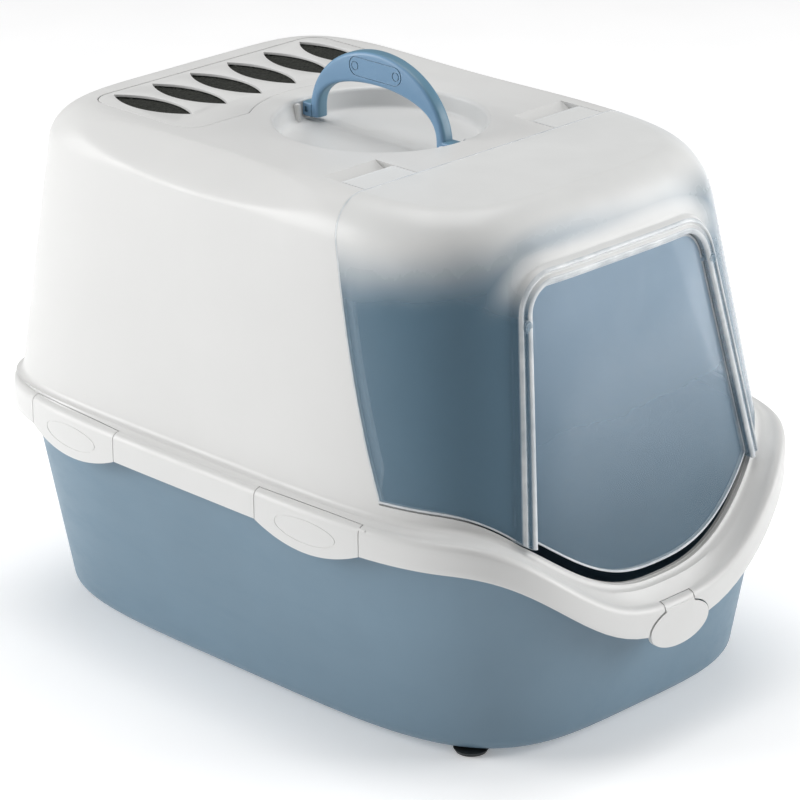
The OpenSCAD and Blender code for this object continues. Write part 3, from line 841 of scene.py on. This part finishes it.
def bail_station(a):
    """Outer and inner points of the bail at angle a, as (along Y, up) from the pins' axis."""
    outer = (BAIL_OUT * math.cos(a), BAIL_RISE * math.sin(a))
    inner = ((BAIL_OUT - BAIL_LEG) * math.cos(a), (BAIL_RISE - GRIP_H) * max(0.0, math.sin(a)) ** 0.7)
    return np.array(outer), np.array(inner)


def bail_loop(outer, inner, corner=3.2, steps=5):
    """A rounded oblong section between the inner and the outer point, BAIL_T thick."""
    middle = (outer + inner) / 2
    along = outer - inner
    half = np.linalg.norm(along) / 2
    along = along / (2 * half)
    loop = []
    for sx, sh, a0 in ((1, 1, 0), (-1, 1, 90), (-1, -1, 180), (1, -1, 270)):
        for k in range(steps + 1):
            a = math.radians(a0 + 90 * k / steps)
            x = sx * (BAIL_T / 2 - corner) + corner * math.cos(a)
            h = sh * (half - corner) + corner * math.sin(a)
            p = middle + along * h
            loop.append((x, HANDLE_Y + p[0], HANDLE_Z + p[1]))
    return loop


def bail_mesh():
    feet = [tuple(np.array([side * out, -HANDLE_FOOT]) for out in (BAIL_OUT, BAIL_OUT - BAIL_LEG))
            for side in (1, -1)]
    arch = [bail_station(math.pi * i / 72) for i in range(73)]
    return loft([bail_loop(*station) for station in [feet[0]] + arch + [feet[1]]], fan=False)


def stadium(cx, cz, half, r, steps=16):
    """A level oblong with round ends."""
    points = []
    for s in (1, -1):
        for k in range(steps + 1):
            a = math.radians(-90 + 180 * k / steps) + (0 if s > 0 else math.pi)
            points.append((cx + s * half + r * math.cos(a), cz + r * math.sin(a)))
    return points


def handle_mesh():
    handle = bail_mesh()
    grip_z = HANDLE_Z + BAIL_RISE - GRIP_H / 2 - 0.8
    rings = [(HANDLE_Y, 19.5, 7.6, 6.7)]
    rings += [(HANDLE_Y + off, 0.01, 3.6, 2.8) for off in (-21, 21)]
    for side in (-1, 1):
        face = side * BAIL_T / 2
        low, high = sorted((face - side * GRIP_GROOVE, face + side * 3))
        for y, half, outer, inner in rings:
            ring = cut(prism(stadium(y, grip_z, half, outer), "x", low, high),
                       prism(stadium(y, grip_z, half, inner), "x", low - 1, high + 1))
            handle = cut(handle, ring)
    for side in (-1, 1):
        ends = sorted((HANDLE_Y + side * (BAIL_OUT - 2), HANDLE_Y + side * (SOCKET_Y - 0.8)))
        block = rounded(box_outline(-6, 6, HANDLE_Z - 5.5, HANDLE_Z + 5.5), [1.4] * 4, 5)
        middle = HANDLE_Y + side * (BAIL_OUT + 3.2)
        socket = box_outline(middle - 1.7, middle + 1.7, HANDLE_Z - 2.2, HANDLE_Z + 2.2)
        handle = join(handle, cut(prism(block, "y", *ends), prism(socket, "x", -7, -4.2)))
        pin_half = (SOCKET_Y + 8 - BAIL_OUT) / 2
        pin_at = (0, HANDLE_Y + side * (BAIL_OUT + pin_half), HANDLE_Z)
        handle = join(handle, rod(pin_at, "y", pin_half, HANDLE_PIN_R))
    return handle


# ------------------------ filter cover and filter
VENT_COUNT = 6
VENT_PITCH = 37
VENT_Y = 167
VENT_FAN = 2.3
VENT_LEN = 79
VENT_W = 28


def lens(cx, cy, length, width, tilt, steps=20):
    r = (length**2 / 4 + width**2 / 4) / width
    half = math.asin(length / 2 / r)
    points = []
    for s in (1, -1):
        for k in range(steps):
            a = -half + 2 * half * k / steps
            points.append((s * (r * math.cos(a) - r + width / 2), s * r * math.sin(a)))
    c, d = math.cos(tilt), math.sin(tilt)
    return [(cx + x * c - y * d, cy + x * d + y * c) for x, y in points]


def stepped_prism(outline_at, levels):
    """A solid with rounded edges: outline_at(shrink) at each (shrink, height) level."""
    return loft([[(x, y, z) for x, y in outline_at(shrink)] for shrink, z in levels], fan=False)


def round_levels(low, high, r_low, r_high, steps=4):
    """(shrink, height) levels of a plate whose lower and upper edges are rounded."""
    levels = [(r_low * s, low + r_low * c) for c, s in quarter(steps)]
    return levels + [(r_high * c, high - r_high * s) for c, s in quarter(steps)]


def vent_hole(index):
    """One vent, its upper edge eased."""
    k = index - (VENT_COUNT - 1) / 2
    levels = [(0, COVER_LOW.z - 1), (0, COVER_HIGH.z - 0.9), (0.3, COVER_HIGH.z - 0.3),
              (1.0, COVER_HIGH.z + 0.05), (1.0, COVER_HIGH.z + 1)]
    spot = (VENT_PITCH * k, VENT_Y)
    tilt = math.radians(-VENT_FAN * k)
    return stepped_prism(
        lambda grow: lens(*spot, VENT_LEN + 2 * grow, VENT_W + 2 * grow, tilt), levels)


def cover_mesh():
    cover = stepped_prism(lambda shrink: cover_outline(1.0 + shrink),
                          round_levels(COVER_LOW.z, COVER_HIGH.z, 0.2, 0.9))
    return cut(cover, *[vent_hole(i) for i in range(VENT_COUNT)])


def filter_mesh():
    """A slab of open foam whose top has small bumps."""
    slab = stepped_prism(lambda shrink: cover_outline(5.8 + shrink),
                         round_levels(PAD_LOW.z, PAD_HIGH.z, 0.5, 0.8, 2))
    rng = np.random.default_rng(7)
    across = np.linspace(PAD_LOW.x - 3, PAD_HIGH.x + 3, 121)
    deep = np.linspace(PAD_LOW.y - 3, PAD_HIGH.y + 3, 61)
    tops = PAD_HIGH.z - 0.05 - 0.9 * rng.random((len(deep), len(across)))
    points = [(x, y, tops[r, c]) for r, y in enumerate(deep) for c, x in enumerate(across)]
    points += [(x, y, PAD_LOW.z - 1) for y in deep for x in across]
    wide = len(across)
    under = wide * len(deep)
    faces = []
    for r in range(len(deep) - 1):
        for c in range(wide - 1):
            a = r * wide + c
            faces.append((a, a + 1, a + wide + 1, a + wide))
            faces.append((under + a, under + a + wide, under + a + wide + 1, under + a + 1))
    edge = list(range(wide)) + [r * wide + wide - 1 for r in range(1, len(deep))]
    edge += [under - 1 - c for c in range(1, wide)]
    edge += [r * wide for r in range(len(deep) - 2, 0, -1)]
    for a, b in zip(edge, edge[1:] + edge[:1]):
        faces.append((a, under + a, under + b, b))
    return cross(slab, new_mesh(points, faces))


# ------------------------ clips and latch
def clip_outline():
    """A side clip seen from outside: straight ends and a bowed lower edge, in its own frame."""
    half = CLIP_W / 2
    low = SKIRT_Z - CLIP_AXIS_Z
    bow = [(-half * t, low - CLIP_DROP * (1 - t * t)) for t in np.linspace(-1, 1, 41)]
    return [(half, 10), (half, low)] + bow[1:-1] + [(-half, low), (-half, 10)]


def rim_core():
    """What a clip leaves free behind its wall."""
    return loft([rim_ring(-WALL, RIM_Z - 70), rim_ring(-WALL, RIM_Z - 5.2)])


def clip_mesh(joint):
    blank = cut(rim_block(), rim_core())
    half = CLIP_W / 2
    outline = prism(clip_outline(), "x", -10, 30)
    section = prism(barrel_side(BARREL_R, 0), "y", -CLIP_W, CLIP_W)
    clip = cross(blank, in_clip(joint, cross(outline, section)))
    groove = cut(prism(oval(0, -14.5, 30, 9.5), "x", 0, 12),
                 prism(oval(0, -14.5, 28.8, 8.3), "x", -1, 13))
    clip = cut(clip, cut(in_clip(joint, groove), rim_block(-0.3)))
    for s in (-1, 1):
        clip = join(clip, in_clip(joint, rod((0, s * (half + 0.5), 0), "y", 5.5, PIN_R, 0.3, 24)))
    return clip


def oval(cx, cz, a, b, steps=64):
    turns = [2 * math.pi * k / steps for k in range(steps)]
    return [(cx + a * math.cos(turn), cz + b * math.sin(turn)) for turn in turns]


def latch_mesh():
    proud = [rim_ring(0.8, RIM_Z - 60), rim_ring(0.8, RIM_Z - 6.5), rim_ring(0.2, RIM_Z - 4.6)]
    blank = cut(join(rim_block(), loft(proud)), rim_core())
    latch = cross(blank, latch_block(0, LATCH_BARREL, 0))
    spots = [(s * LATCH_NECK, LATCH_AXIS.y, LATCH_AXIS.z) for s in (-1, 1)]
    return join(latch, *[rod(spot, "x", 5, PIN_R, 0.3, 24) for spot in spots])


# ------------------------ tray
TRAY_LOW, TRAY_HIGH = box_mm("tray")
TRAY_W = 165
TRAY_FRONT = 245
TRAY_BACK = 247
TRAY_EDGE = 13
FOOT_R = 13
LIP_OUT = -3.4
LIP_H = 11


def tray_ring(z, inset):
    u, v = TRAY_PLAN.T
    grow = 0.15 * (z - 12) - inset
    deep = np.where(v < 0, TRAY_FRONT, TRAY_BACK) + grow
    return np.column_stack([(TRAY_W + grow) * u, deep * v, z + 0 * u])


def tray_mesh():
    low = TRAY_LOW.z
    outer = [tray_ring(low + TRAY_EDGE * s, TRAY_EDGE * c) for c, s in reversed(quarter(9))]
    top = TRAY_Z - DIPS
    first = outer[-1][:, 2]
    wall_top = top - WALL - 2
    wall = [tray_ring(first + (wall_top - first) * i / 9, 0) for i in range(1, 10)]
    under = LIP_OUT - WALL
    lip = [tray_ring(top - WALL, -1.2), rim_ring(under - 1, TRAY_Z - WALL),
           rim_ring(under, TRAY_Z - WALL - 1), rim_ring(under, TRAY_Z - LIP_H),
           rim_ring(LIP_OUT, TRAY_Z - LIP_H)]
    lip += [rim_ring(LIP_OUT - 2 * c, TRAY_Z - 2 * s) for c, s in quarter(4)]
    inner_top = [tray_ring(top - drop, WALL - out)
                 for drop, out in ((0, 1.8), (0.6, 0.6), (2.4, 0))]
    edge = TRAY_EDGE - 1
    base = low + WALL + edge
    inner = [tray_ring(top - 2.4 + (base - top + 2.4) * i / 9, WALL) for i in range(1, 9)]
    floor = [tray_ring(low + WALL + edge * s, WALL + edge * c) for c, s in quarter(9)]
    return loft(outer + wall + lip + inner_top + inner + floor)


def feet_mesh():
    low, high = box_mm("tray_feet")
    r = FOOT_R
    height = high.z - low.z
    profile = [(0, 0), (r - 2.2, 0), (r - 1.6, 0.3), (r - 0.6, height - 0.8), (r, height), (0, height)]
    spots = [(sx * (high.x - r), sy * (high.y - r), 0) for sx in (-1, 1) for sy in (-1, 1)]
    return join(*[revolve(profile, spot, 64) for spot in spots])


# ------------------------ materials
class Paint:
    """A procedural material: one Principled shader with node chains for its varying values."""

    def __init__(self, name):
        self.material = bpy.data.materials.new(name)
        self.material.use_nodes = True
        self.tree = self.material.node_tree
        self.shader = self.tree.nodes["Principled BSDF"]
        self.spot = self.add("ShaderNodeTexCoord").outputs["Object"]

    def add(self, kind, settings=None, **inputs):
        node = self.tree.nodes.new(kind)
        for key, value in (settings or {}).items():
            setattr(node, key, value)
        for key, value in inputs.items():
            self.wire(node.inputs[key.replace("_", " ")], value)
        return node

    def wire(self, socket, value):
        if isinstance(value, bpy.types.NodeSocket):
            self.tree.links.new(value, socket)
        else:
            socket.default_value = value

    def set(self, **inputs):
        for key, value in inputs.items():
            self.wire(self.shader.inputs[key.replace("_", " ")], value)

    def noise(self, scale, detail=3.0, rough=0.5, stretch=None):
        spot = self.spot
        if stretch:
            spot = self.add("ShaderNodeMapping", Vector=spot, Scale=stretch).outputs["Vector"]
        node = self.add("ShaderNodeTexNoise", Vector=spot, Scale=scale, Detail=detail, Roughness=rough)
        return node.outputs["Fac"]

    def math(self, operation, first, second=0.0):
        node = self.tree.nodes.new("ShaderNodeMath")
        node.operation = operation
        self.wire(node.inputs[0], first)
        self.wire(node.inputs[1], second)
        return node.outputs[0]

    def times(self, first, second):
        return self.math("MULTIPLY", first, second)

    def plus(self, first, second):
        return self.math("ADD", first, second)

    def ramp(self, value, low, high, start=0.0, end=1.0, smooth_step=False):
        kind = "SMOOTHSTEP" if smooth_step else "LINEAR"
        node = self.add("ShaderNodeMapRange", {"clamp": True, "interpolation_type": kind}, Value=value,
                        From_Min=low, From_Max=high, To_Min=start, To_Max=end)
        return node.outputs["Result"]

    def mix(self, share, first, second):
        first = (*first, 1) if isinstance(first, tuple) and len(first) == 3 else first
        second = (*second, 1) if isinstance(second, tuple) and len(second) == 3 else second
        node = self.add("ShaderNodeMixRGB", Fac=share, Color1=first, Color2=second)
        return node.outputs["Color"]

    def axis(self, vector, name):
        return self.add("ShaderNodeSeparateXYZ", Vector=vector).outputs[name]

    def edges(self, radius=0.0009, gain=5.0):
        """Near 1 along the piece's sharper edges, broken up by noise; used for edge abrasion and for
        painted edge highlights.
        """
        soft = self.add("ShaderNodeBevel", {"samples": 4}, Radius=radius).outputs["Normal"]
        face = self.add("ShaderNodeNewGeometry").outputs["Normal"]
        same = self.tree.nodes.new("ShaderNodeVectorMath")
        same.operation = "DOT_PRODUCT"
        self.wire(same.inputs[0], soft)
        self.wire(same.inputs[1], face)
        bent = self.times(self.math("SUBTRACT", 1.0, same.outputs["Value"]), gain)
        broken_edge = self.times(bent, self.ramp(self.noise(90, 3), 0.35, 0.65, 0.45, 1.0))
        return self.ramp(broken_edge, 0, 1)

    def finish(self, base, rough, height, strength, distance, **more):
        """Colour, roughness and bump, the three that every material has."""
        bump = self.add("ShaderNodeBump", Height=height, Strength=strength, Distance=distance)
        self.set(Base_Color=base, Roughness=rough, Normal=bump.outputs["Normal"], **more)
        return self.material


def moulded(name, colour, roughness, wear_and_highlight, grain, tint, flow=True):
    """Moulded plastic: faint flow marks, satin grain, edges lightened partly by abrasion and partly as
    painted edge highlights, and scuffs that change the gloss.
    """
    paint = Paint(name)
    deep = tuple(c * (1 - tint) for c in colour)
    pale = tuple(min(1.0, c * (1 + tint * 0.5)) for c in colour)
    clouds = paint.ramp(paint.noise(7, 4), 0.3, 0.7)
    base = paint.mix(clouds, deep, pale)
    if flow:
        streaks = paint.ramp(paint.noise(30, 3, 0.6, (1, 1, 0.12)), 0.45, 0.8, 0, 0.35)
        base = paint.mix(streaks, base, tuple(c * (1 - 0.6 * tint) for c in colour))
    specks = paint.ramp(paint.noise(420, 2, 0.7), 0.73, 0.8, 0, 0.12)
    base = paint.mix(specks, base, tuple(c * 0.55 for c in colour))
    # lighter edges: partly abrasion, partly a painted highlight
    edge = paint.edges()
    base = paint.mix(paint.times(edge, 0.6), base, wear_and_highlight)
    scuffs = paint.ramp(paint.noise(60, 6, 0.65, (1, 0.25, 1)), 0.45, 0.75)
    rough = paint.ramp(scuffs, 0, 1, roughness - 0.05, roughness + 0.09)
    rough = paint.math("SUBTRACT", rough, paint.times(edge, 0.12))
    fine = paint.noise(1500, 2, 0.6)
    wide = paint.noise(110, 2, 0.5)
    height = paint.plus(paint.times(fine, 0.35), paint.times(wide, 0.65))
    paint.finish(base, rough, height, grain, 0.0006)
    return paint


def white_plastic():
    return moulded("white_plastic", (0.705, 0.705, 0.695), 0.42, (0.84, 0.84, 0.83),
                   tint=0.025, grain=0.08).material


def blue_plastic():
    return moulded("blue_plastic", (0.158, 0.245, 0.318), 0.46, (0.26, 0.36, 0.44),
                   tint=0.08, grain=0.09).material


def handle_plastic():
    """The handle: light blue sides, and a deeper, greener band of painted shade round its outer and
    inner edges.
    """
    paint = moulded("handle_plastic", (0.175, 0.325, 0.500), 0.40, (0.34, 0.50, 0.66),
                    tint=0.07, grain=0.08, flow=False)
    base = paint.shader.inputs["Base Color"].links[0].from_socket
    normal = paint.add("ShaderNodeTexCoord").outputs["Normal"]
    # painted shade: faces that do not face sideways are mixed towards deep teal
    side = paint.math("ABSOLUTE", paint.axis(normal, "X"))
    band = paint.ramp(side, 0.35, 0.85, 0.62, 0.0, True)
    paint.set(Base_Color=paint.mix(band, base, (0.085, 0.19, 0.235)))
    return paint.material


def milky_plastic():
    """The lift-up front: deep blue low down, painted shade standing in for the shaded blue tray seen
    through the clear plastic, turning to a painted white reflection of the overhead light at its top
    and over the door.
    """
    paint = Paint("milky_plastic")
    across = paint.axis(paint.spot, "X")
    forward = paint.axis(paint.spot, "Y")
    height = paint.axis(paint.spot, "Z")
    drift = paint.ramp(paint.noise(9, 2, 0.5), 0.2, 0.8, -0.006, 0.006)
    lifted = paint.plus(paint.plus(height, drift), paint.ramp(forward, -0.205, -0.120, 0.0, 0.014))
    # painted reflection of the overhead light: white towards the top
    painted_reflection = paint.ramp(lifted, 0.336, 0.388, 0, 1, True)
    front = paint.ramp(forward, -0.212, -0.196, 1, 0, True)
    # painted reflection on the front face over the door
    door_reflection = paint.times(paint.ramp(lifted, 0.322, 0.350, 0, 1.0, True),
                           paint.ramp(across, -0.150, -0.085, 0, 1, True))
    door_reflection = paint.times(door_reflection, front)
    painted_reflection = paint.math("MAXIMUM", painted_reflection, door_reflection)
    # a gap in the painted reflection along the brow, strongest to the left
    reflection_gap = paint.times(paint.ramp(lifted, 0.361, 0.373, 0, 1, True),
                        paint.ramp(lifted, 0.379, 0.391, 1, 0, True))
    reflection_gap = paint.times(reflection_gap, paint.ramp(across, -0.08, 0.06, 0.70, 0, True))
    reflection_gap = paint.times(reflection_gap, front)
    painted_reflection = paint.times(painted_reflection, paint.math("SUBTRACT", 1.0, reflection_gap))
    # painted sheen: lighter where the surface is seen at a grazing angle
    graze = paint.add("ShaderNodeLayerWeight", Blend=0.35).outputs["Facing"]
    painted_sheen = paint.ramp(graze, 0.45, 0.95, 0, 1, True)
    # painted highlight along the sharper edges, joined with the painted sheen
    edge = paint.edges(0.0012, 9.0)
    painted_highlight = paint.math("MAXIMUM", edge, paint.times(painted_sheen, 0.75))
    blots = paint.ramp(paint.noise(30, 3, 0.5), 0.3, 0.7, -0.015, 0.015)
    alpha = paint.plus(paint.plus(paint.times(painted_reflection, 0.42), 0.50), blots)
    alpha = paint.plus(alpha, paint.times(painted_highlight, 0.40))
    alpha = paint.ramp(alpha, 0, 1, 0.0, 0.97)
    # deep blue: painted shade of the tray seen through; white: painted reflection
    base = paint.mix(painted_reflection, (0.175, 0.295, 0.395), (0.790, 0.795, 0.785))
    # painted edge highlight and sheen whiten the colour
    base = paint.mix(paint.times(painted_highlight, 0.9), base, (0.84, 0.87, 0.89))
    streaks = paint.noise(60, 5, 0.6, (1, 1, 0.2))
    rough = paint.ramp(painted_reflection, 0, 1, 0.16, 0.33)
    rough = paint.plus(rough, paint.ramp(streaks, 0.45, 0.8, 0, 0.07))
    return paint.finish(base, rough, paint.noise(26, 2), 0.06, 0.0006, Alpha=alpha)


def smoky_plastic():
    """The flap: thin smoky sheet with painted highlights along its edges, fine scratches, and a colour
    that is darker and clearer towards the bottom.
    """
    paint = Paint("smoky_plastic")
    height = paint.axis(paint.spot, "Z")
    # painted highlight along the sharper edges: paler and more opaque there
    edge = paint.edges(0.0014, 10.0)
    blots = paint.ramp(paint.noise(20, 3, 0.5), 0.3, 0.7, -0.015, 0.015)
    # more opaque towards the top, clearer towards the bottom
    opacity_by_height = paint.ramp(height, 0.16, 0.33, 0.32, 0.66)
    alpha = paint.plus(paint.plus(opacity_by_height, blots), paint.times(edge, 0.6))
    scratches = paint.ramp(paint.noise(140, 3, 0.7, (6, 1, 0.35)), 0.68, 0.76, 0, 0.05)
    alpha = paint.ramp(paint.plus(alpha, scratches), 0, 1, 0, 0.96)
    # darker towards the bottom, lighter towards the top
    base = paint.mix(paint.ramp(height, 0.12, 0.32), (0.20, 0.32, 0.42), (0.40, 0.53, 0.66))
    # painted edge highlight whitens the colour
    base = paint.mix(paint.times(edge, 0.95), base, (0.88, 0.93, 0.95))
    rough = paint.ramp(paint.noise(70, 5, 0.6, (1, 1, 0.3)), 0.4, 0.8, 0.07, 0.18)
    return paint.finish(base, rough, paint.noise(22, 2), 0.08, 0.0006, Alpha=alpha)


def painted_edge_highlight():
    """Painted highlights where the clear plastic's edges gather the light."""
    paint = Paint("painted_edge_highlight")
    # pale streaks of painted highlight, also setting the opacity
    streaks = paint.ramp(paint.noise(45, 4, 0.6), 0.3, 0.7)
    base = paint.mix(streaks, (0.66, 0.71, 0.75), (0.86, 0.88, 0.89))
    # whiter still on the sharpest edges, as painted highlight
    base = paint.mix(paint.times(paint.edges(), 0.6), base, (0.93, 0.94, 0.95))
    rough = paint.ramp(paint.noise(70, 4), 0.3, 0.8, 0.10, 0.24)
    return paint.finish(base, rough, paint.noise(60, 2), 0.05, 0.0005,
                        Alpha=paint.ramp(streaks, 0, 1, 0.72, 0.90))


def carbon_foam():
    paint = Paint("carbon_foam")
    cells = paint.add("ShaderNodeTexVoronoi", Vector=paint.spot, Scale=420.0).outputs["Distance"]
    grains = paint.noise(520, 4, 0.7)
    base = paint.mix(paint.ramp(cells, 0.1, 0.6), (0.004, 0.005, 0.004), (0.016, 0.018, 0.013))
    base = paint.mix(paint.ramp(grains, 0.62, 0.74), base, (0.10, 0.11, 0.08))
    rough = paint.ramp(grains, 0.3, 0.7, 0.78, 0.98)
    return paint.finish(base, rough, paint.plus(cells, grains), 0.9, 0.0014)


def foot_rubber():
    paint = Paint("foot_rubber")
    dust = paint.ramp(paint.noise(80, 5, 0.6), 0.45, 0.8)
    base = paint.mix(dust, (0.024, 0.030, 0.033), (0.060, 0.064, 0.064))
    base = paint.mix(paint.times(paint.edges(), 0.5), base, (0.10, 0.105, 0.105))
    rough = paint.ramp(dust, 0, 1, 0.62, 0.85)
    return paint.finish(base, rough, paint.noise(900, 3), 0.4, 0.0005)


def floor_paint():
    paint = Paint("floor_paint")
    base = paint.mix(paint.noise(2.5, 3), (0.955, 0.955, 0.96), (0.975, 0.975, 0.975))
    paint.set(Base_Color=base, Roughness=paint.ramp(paint.noise(9, 3), 0.3, 0.7, 0.62, 0.74),
              Emission_Color=(1, 1, 1, 1), Emission_Strength=0.22)
    return paint.material


SHARP = 34
PAINTS = {"white_plastic": white_plastic(), "blue_plastic": blue_plastic(),
          "milky_plastic": milky_plastic(), "smoky_plastic": smoky_plastic(),
          "handle_plastic": handle_plastic(), "painted_edge_highlight": painted_edge_highlight(),
          "carbon_foam": carbon_foam(), "foot_rubber": foot_rubber()}


def place(name, mesh, body, slot, *nodes, paint=None):
    """Puts a piece made in millimetres into the scene; its paint is its slot's unless named."""
    mesh.transform(Matrix.Scale(MM, 4))
    mesh.name = name
    mesh.materials.clear()
    mesh.materials.append(PAINTS[paint or slot])
    mesh.shade_smooth()
    mesh.set_sharp_from_angle(angle=math.radians(SHARP))
    piece = bpy.data.objects.new(name, mesh)
    bpy.context.scene.collection.objects.link(piece)
    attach(piece, body)
    if nodes:
        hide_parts(*nodes)
    return piece


place("tray_tub", tray_mesh(), "tray", "blue_plastic", "tray")
place("tray_pads", feet_mesh(), "tray", "foot_rubber", "tray_feet")
place("hood_shell", hood_mesh(), "hood", "white_plastic", "hood")
place("visor", visor_mesh(), "visor", "milky_plastic", "front_visor")
# beads and a strip that carry painted edge highlights
place("visor_edge_highlights", visor_edge_mesh(), "visor", "milky_plastic", paint="painted_edge_highlight")
place("flap", flap_mesh(), "flap", "smoky_plastic", "swing_flap")
# a slim rim that carries painted edge highlights
place("flap_edge_highlights", flap_edge_mesh(), "flap", "smoky_plastic", paint="painted_edge_highlight")
place("bail_handle", handle_mesh(), "handle", "handle_plastic", "carry_handle")
place("vent_cover", cover_mesh(), "filter_cover", "white_plastic", "filter_cover")
place("foam_filter", filter_mesh(), "carbon_filter", "carbon_foam", "carbon_filter")
for end in ("rear", "front"):
    right = clip_mesh(f"clip_right_{end}_turn")
    for side, clip in (("right", right), ("left", mirrored(right))):
        body = f"clip_{side}_{end}"
        place(f"rim_clip_{side}_{end}", clip, body, "white_plastic", body)
place("entrance_latch", latch_mesh(), "front_latch", "white_plastic", "front_latch")


# ------------------------ floor, light and camera
def floor():
    size = 6.0
    mesh = bpy.data.meshes.new("floor")
    corners = [(x * size, y * size, 0) for x, y in ((-1, -1), (1, -1), (1, 1), (-1, 1))]
    mesh.from_pydata(corners, [], [(0, 1, 2, 3)])
    mesh.materials.append(floor_paint())
    obj = bpy.data.objects.new("floor", mesh)
    bpy.context.scene.collection.objects.link(obj)


def lamp(name, place_at, target, size, power):
    light = bpy.data.lights.new(name, "AREA")
    light.size = size
    light.energy = power
    obj = bpy.data.objects.new(name, light)
    obj.location = place_at
    obj.rotation_euler = (Vector(target) - Vector(place_at)).to_track_quat("-Z", "Y").to_euler()
    bpy.context.scene.collection.objects.link(obj)


def world():
    scene = bpy.context.scene
    scene.world = bpy.data.worlds.new("studio")
    scene.world.use_nodes = True
    sky = scene.world.node_tree.nodes["Background"]
    sky.inputs["Color"].default_value = (1, 1, 1, 1)
    sky.inputs["Strength"].default_value = 0.20
    scene.view_settings.view_transform = "Standard"


CAMERA_TURN = -45.08
CAMERA_UP = 21.29
CAMERA_ROLL = -0.34
CAMERA_FAR = 2.929
LAMPS = [("left", (-2.1, 2.2, 1.2), 1.8, 69), ("right", (2.25, -2.0, 1.1), 1.8, 62),
         ("top", (0.3, 0.3, 3.0), 2.0, 45)]


def camera():
    azimuth, height, roll = [math.radians(a) for a in (CAMERA_TURN, CAMERA_UP, CAMERA_ROLL)]
    target = Vector((0, 0, 0.2))
    level = Vector((math.sin(azimuth), -math.cos(azimuth), 0))
    back = level * math.cos(height) + Vector((0, 0, math.sin(height)))
    right = Vector((math.cos(azimuth), math.sin(azimuth), 0))
    up = back.cross(right)
    right_rolled = math.cos(roll) * right + math.sin(roll) * up
    up_rolled = -math.sin(roll) * right + math.cos(roll) * up
    data = bpy.data.cameras.new("camera")
    data.sensor_width = 36
    data.lens = 175.8
    data.shift_x = -0.0015
    data.shift_y = -0.034
    obj = bpy.data.objects.new("camera", data)
    turn = Matrix((right_rolled, up_rolled, back)).transposed()
    obj.matrix_world = Matrix.Translation(target + back * CAMERA_FAR) @ turn.to_4x4()
    bpy.context.scene.collection.objects.link(obj)
    bpy.context.scene.camera = obj


floor()
world()
for name, spot, size, power in LAMPS:
    lamp(name, spot, (0, 0, 0.2), size, power)
camera()
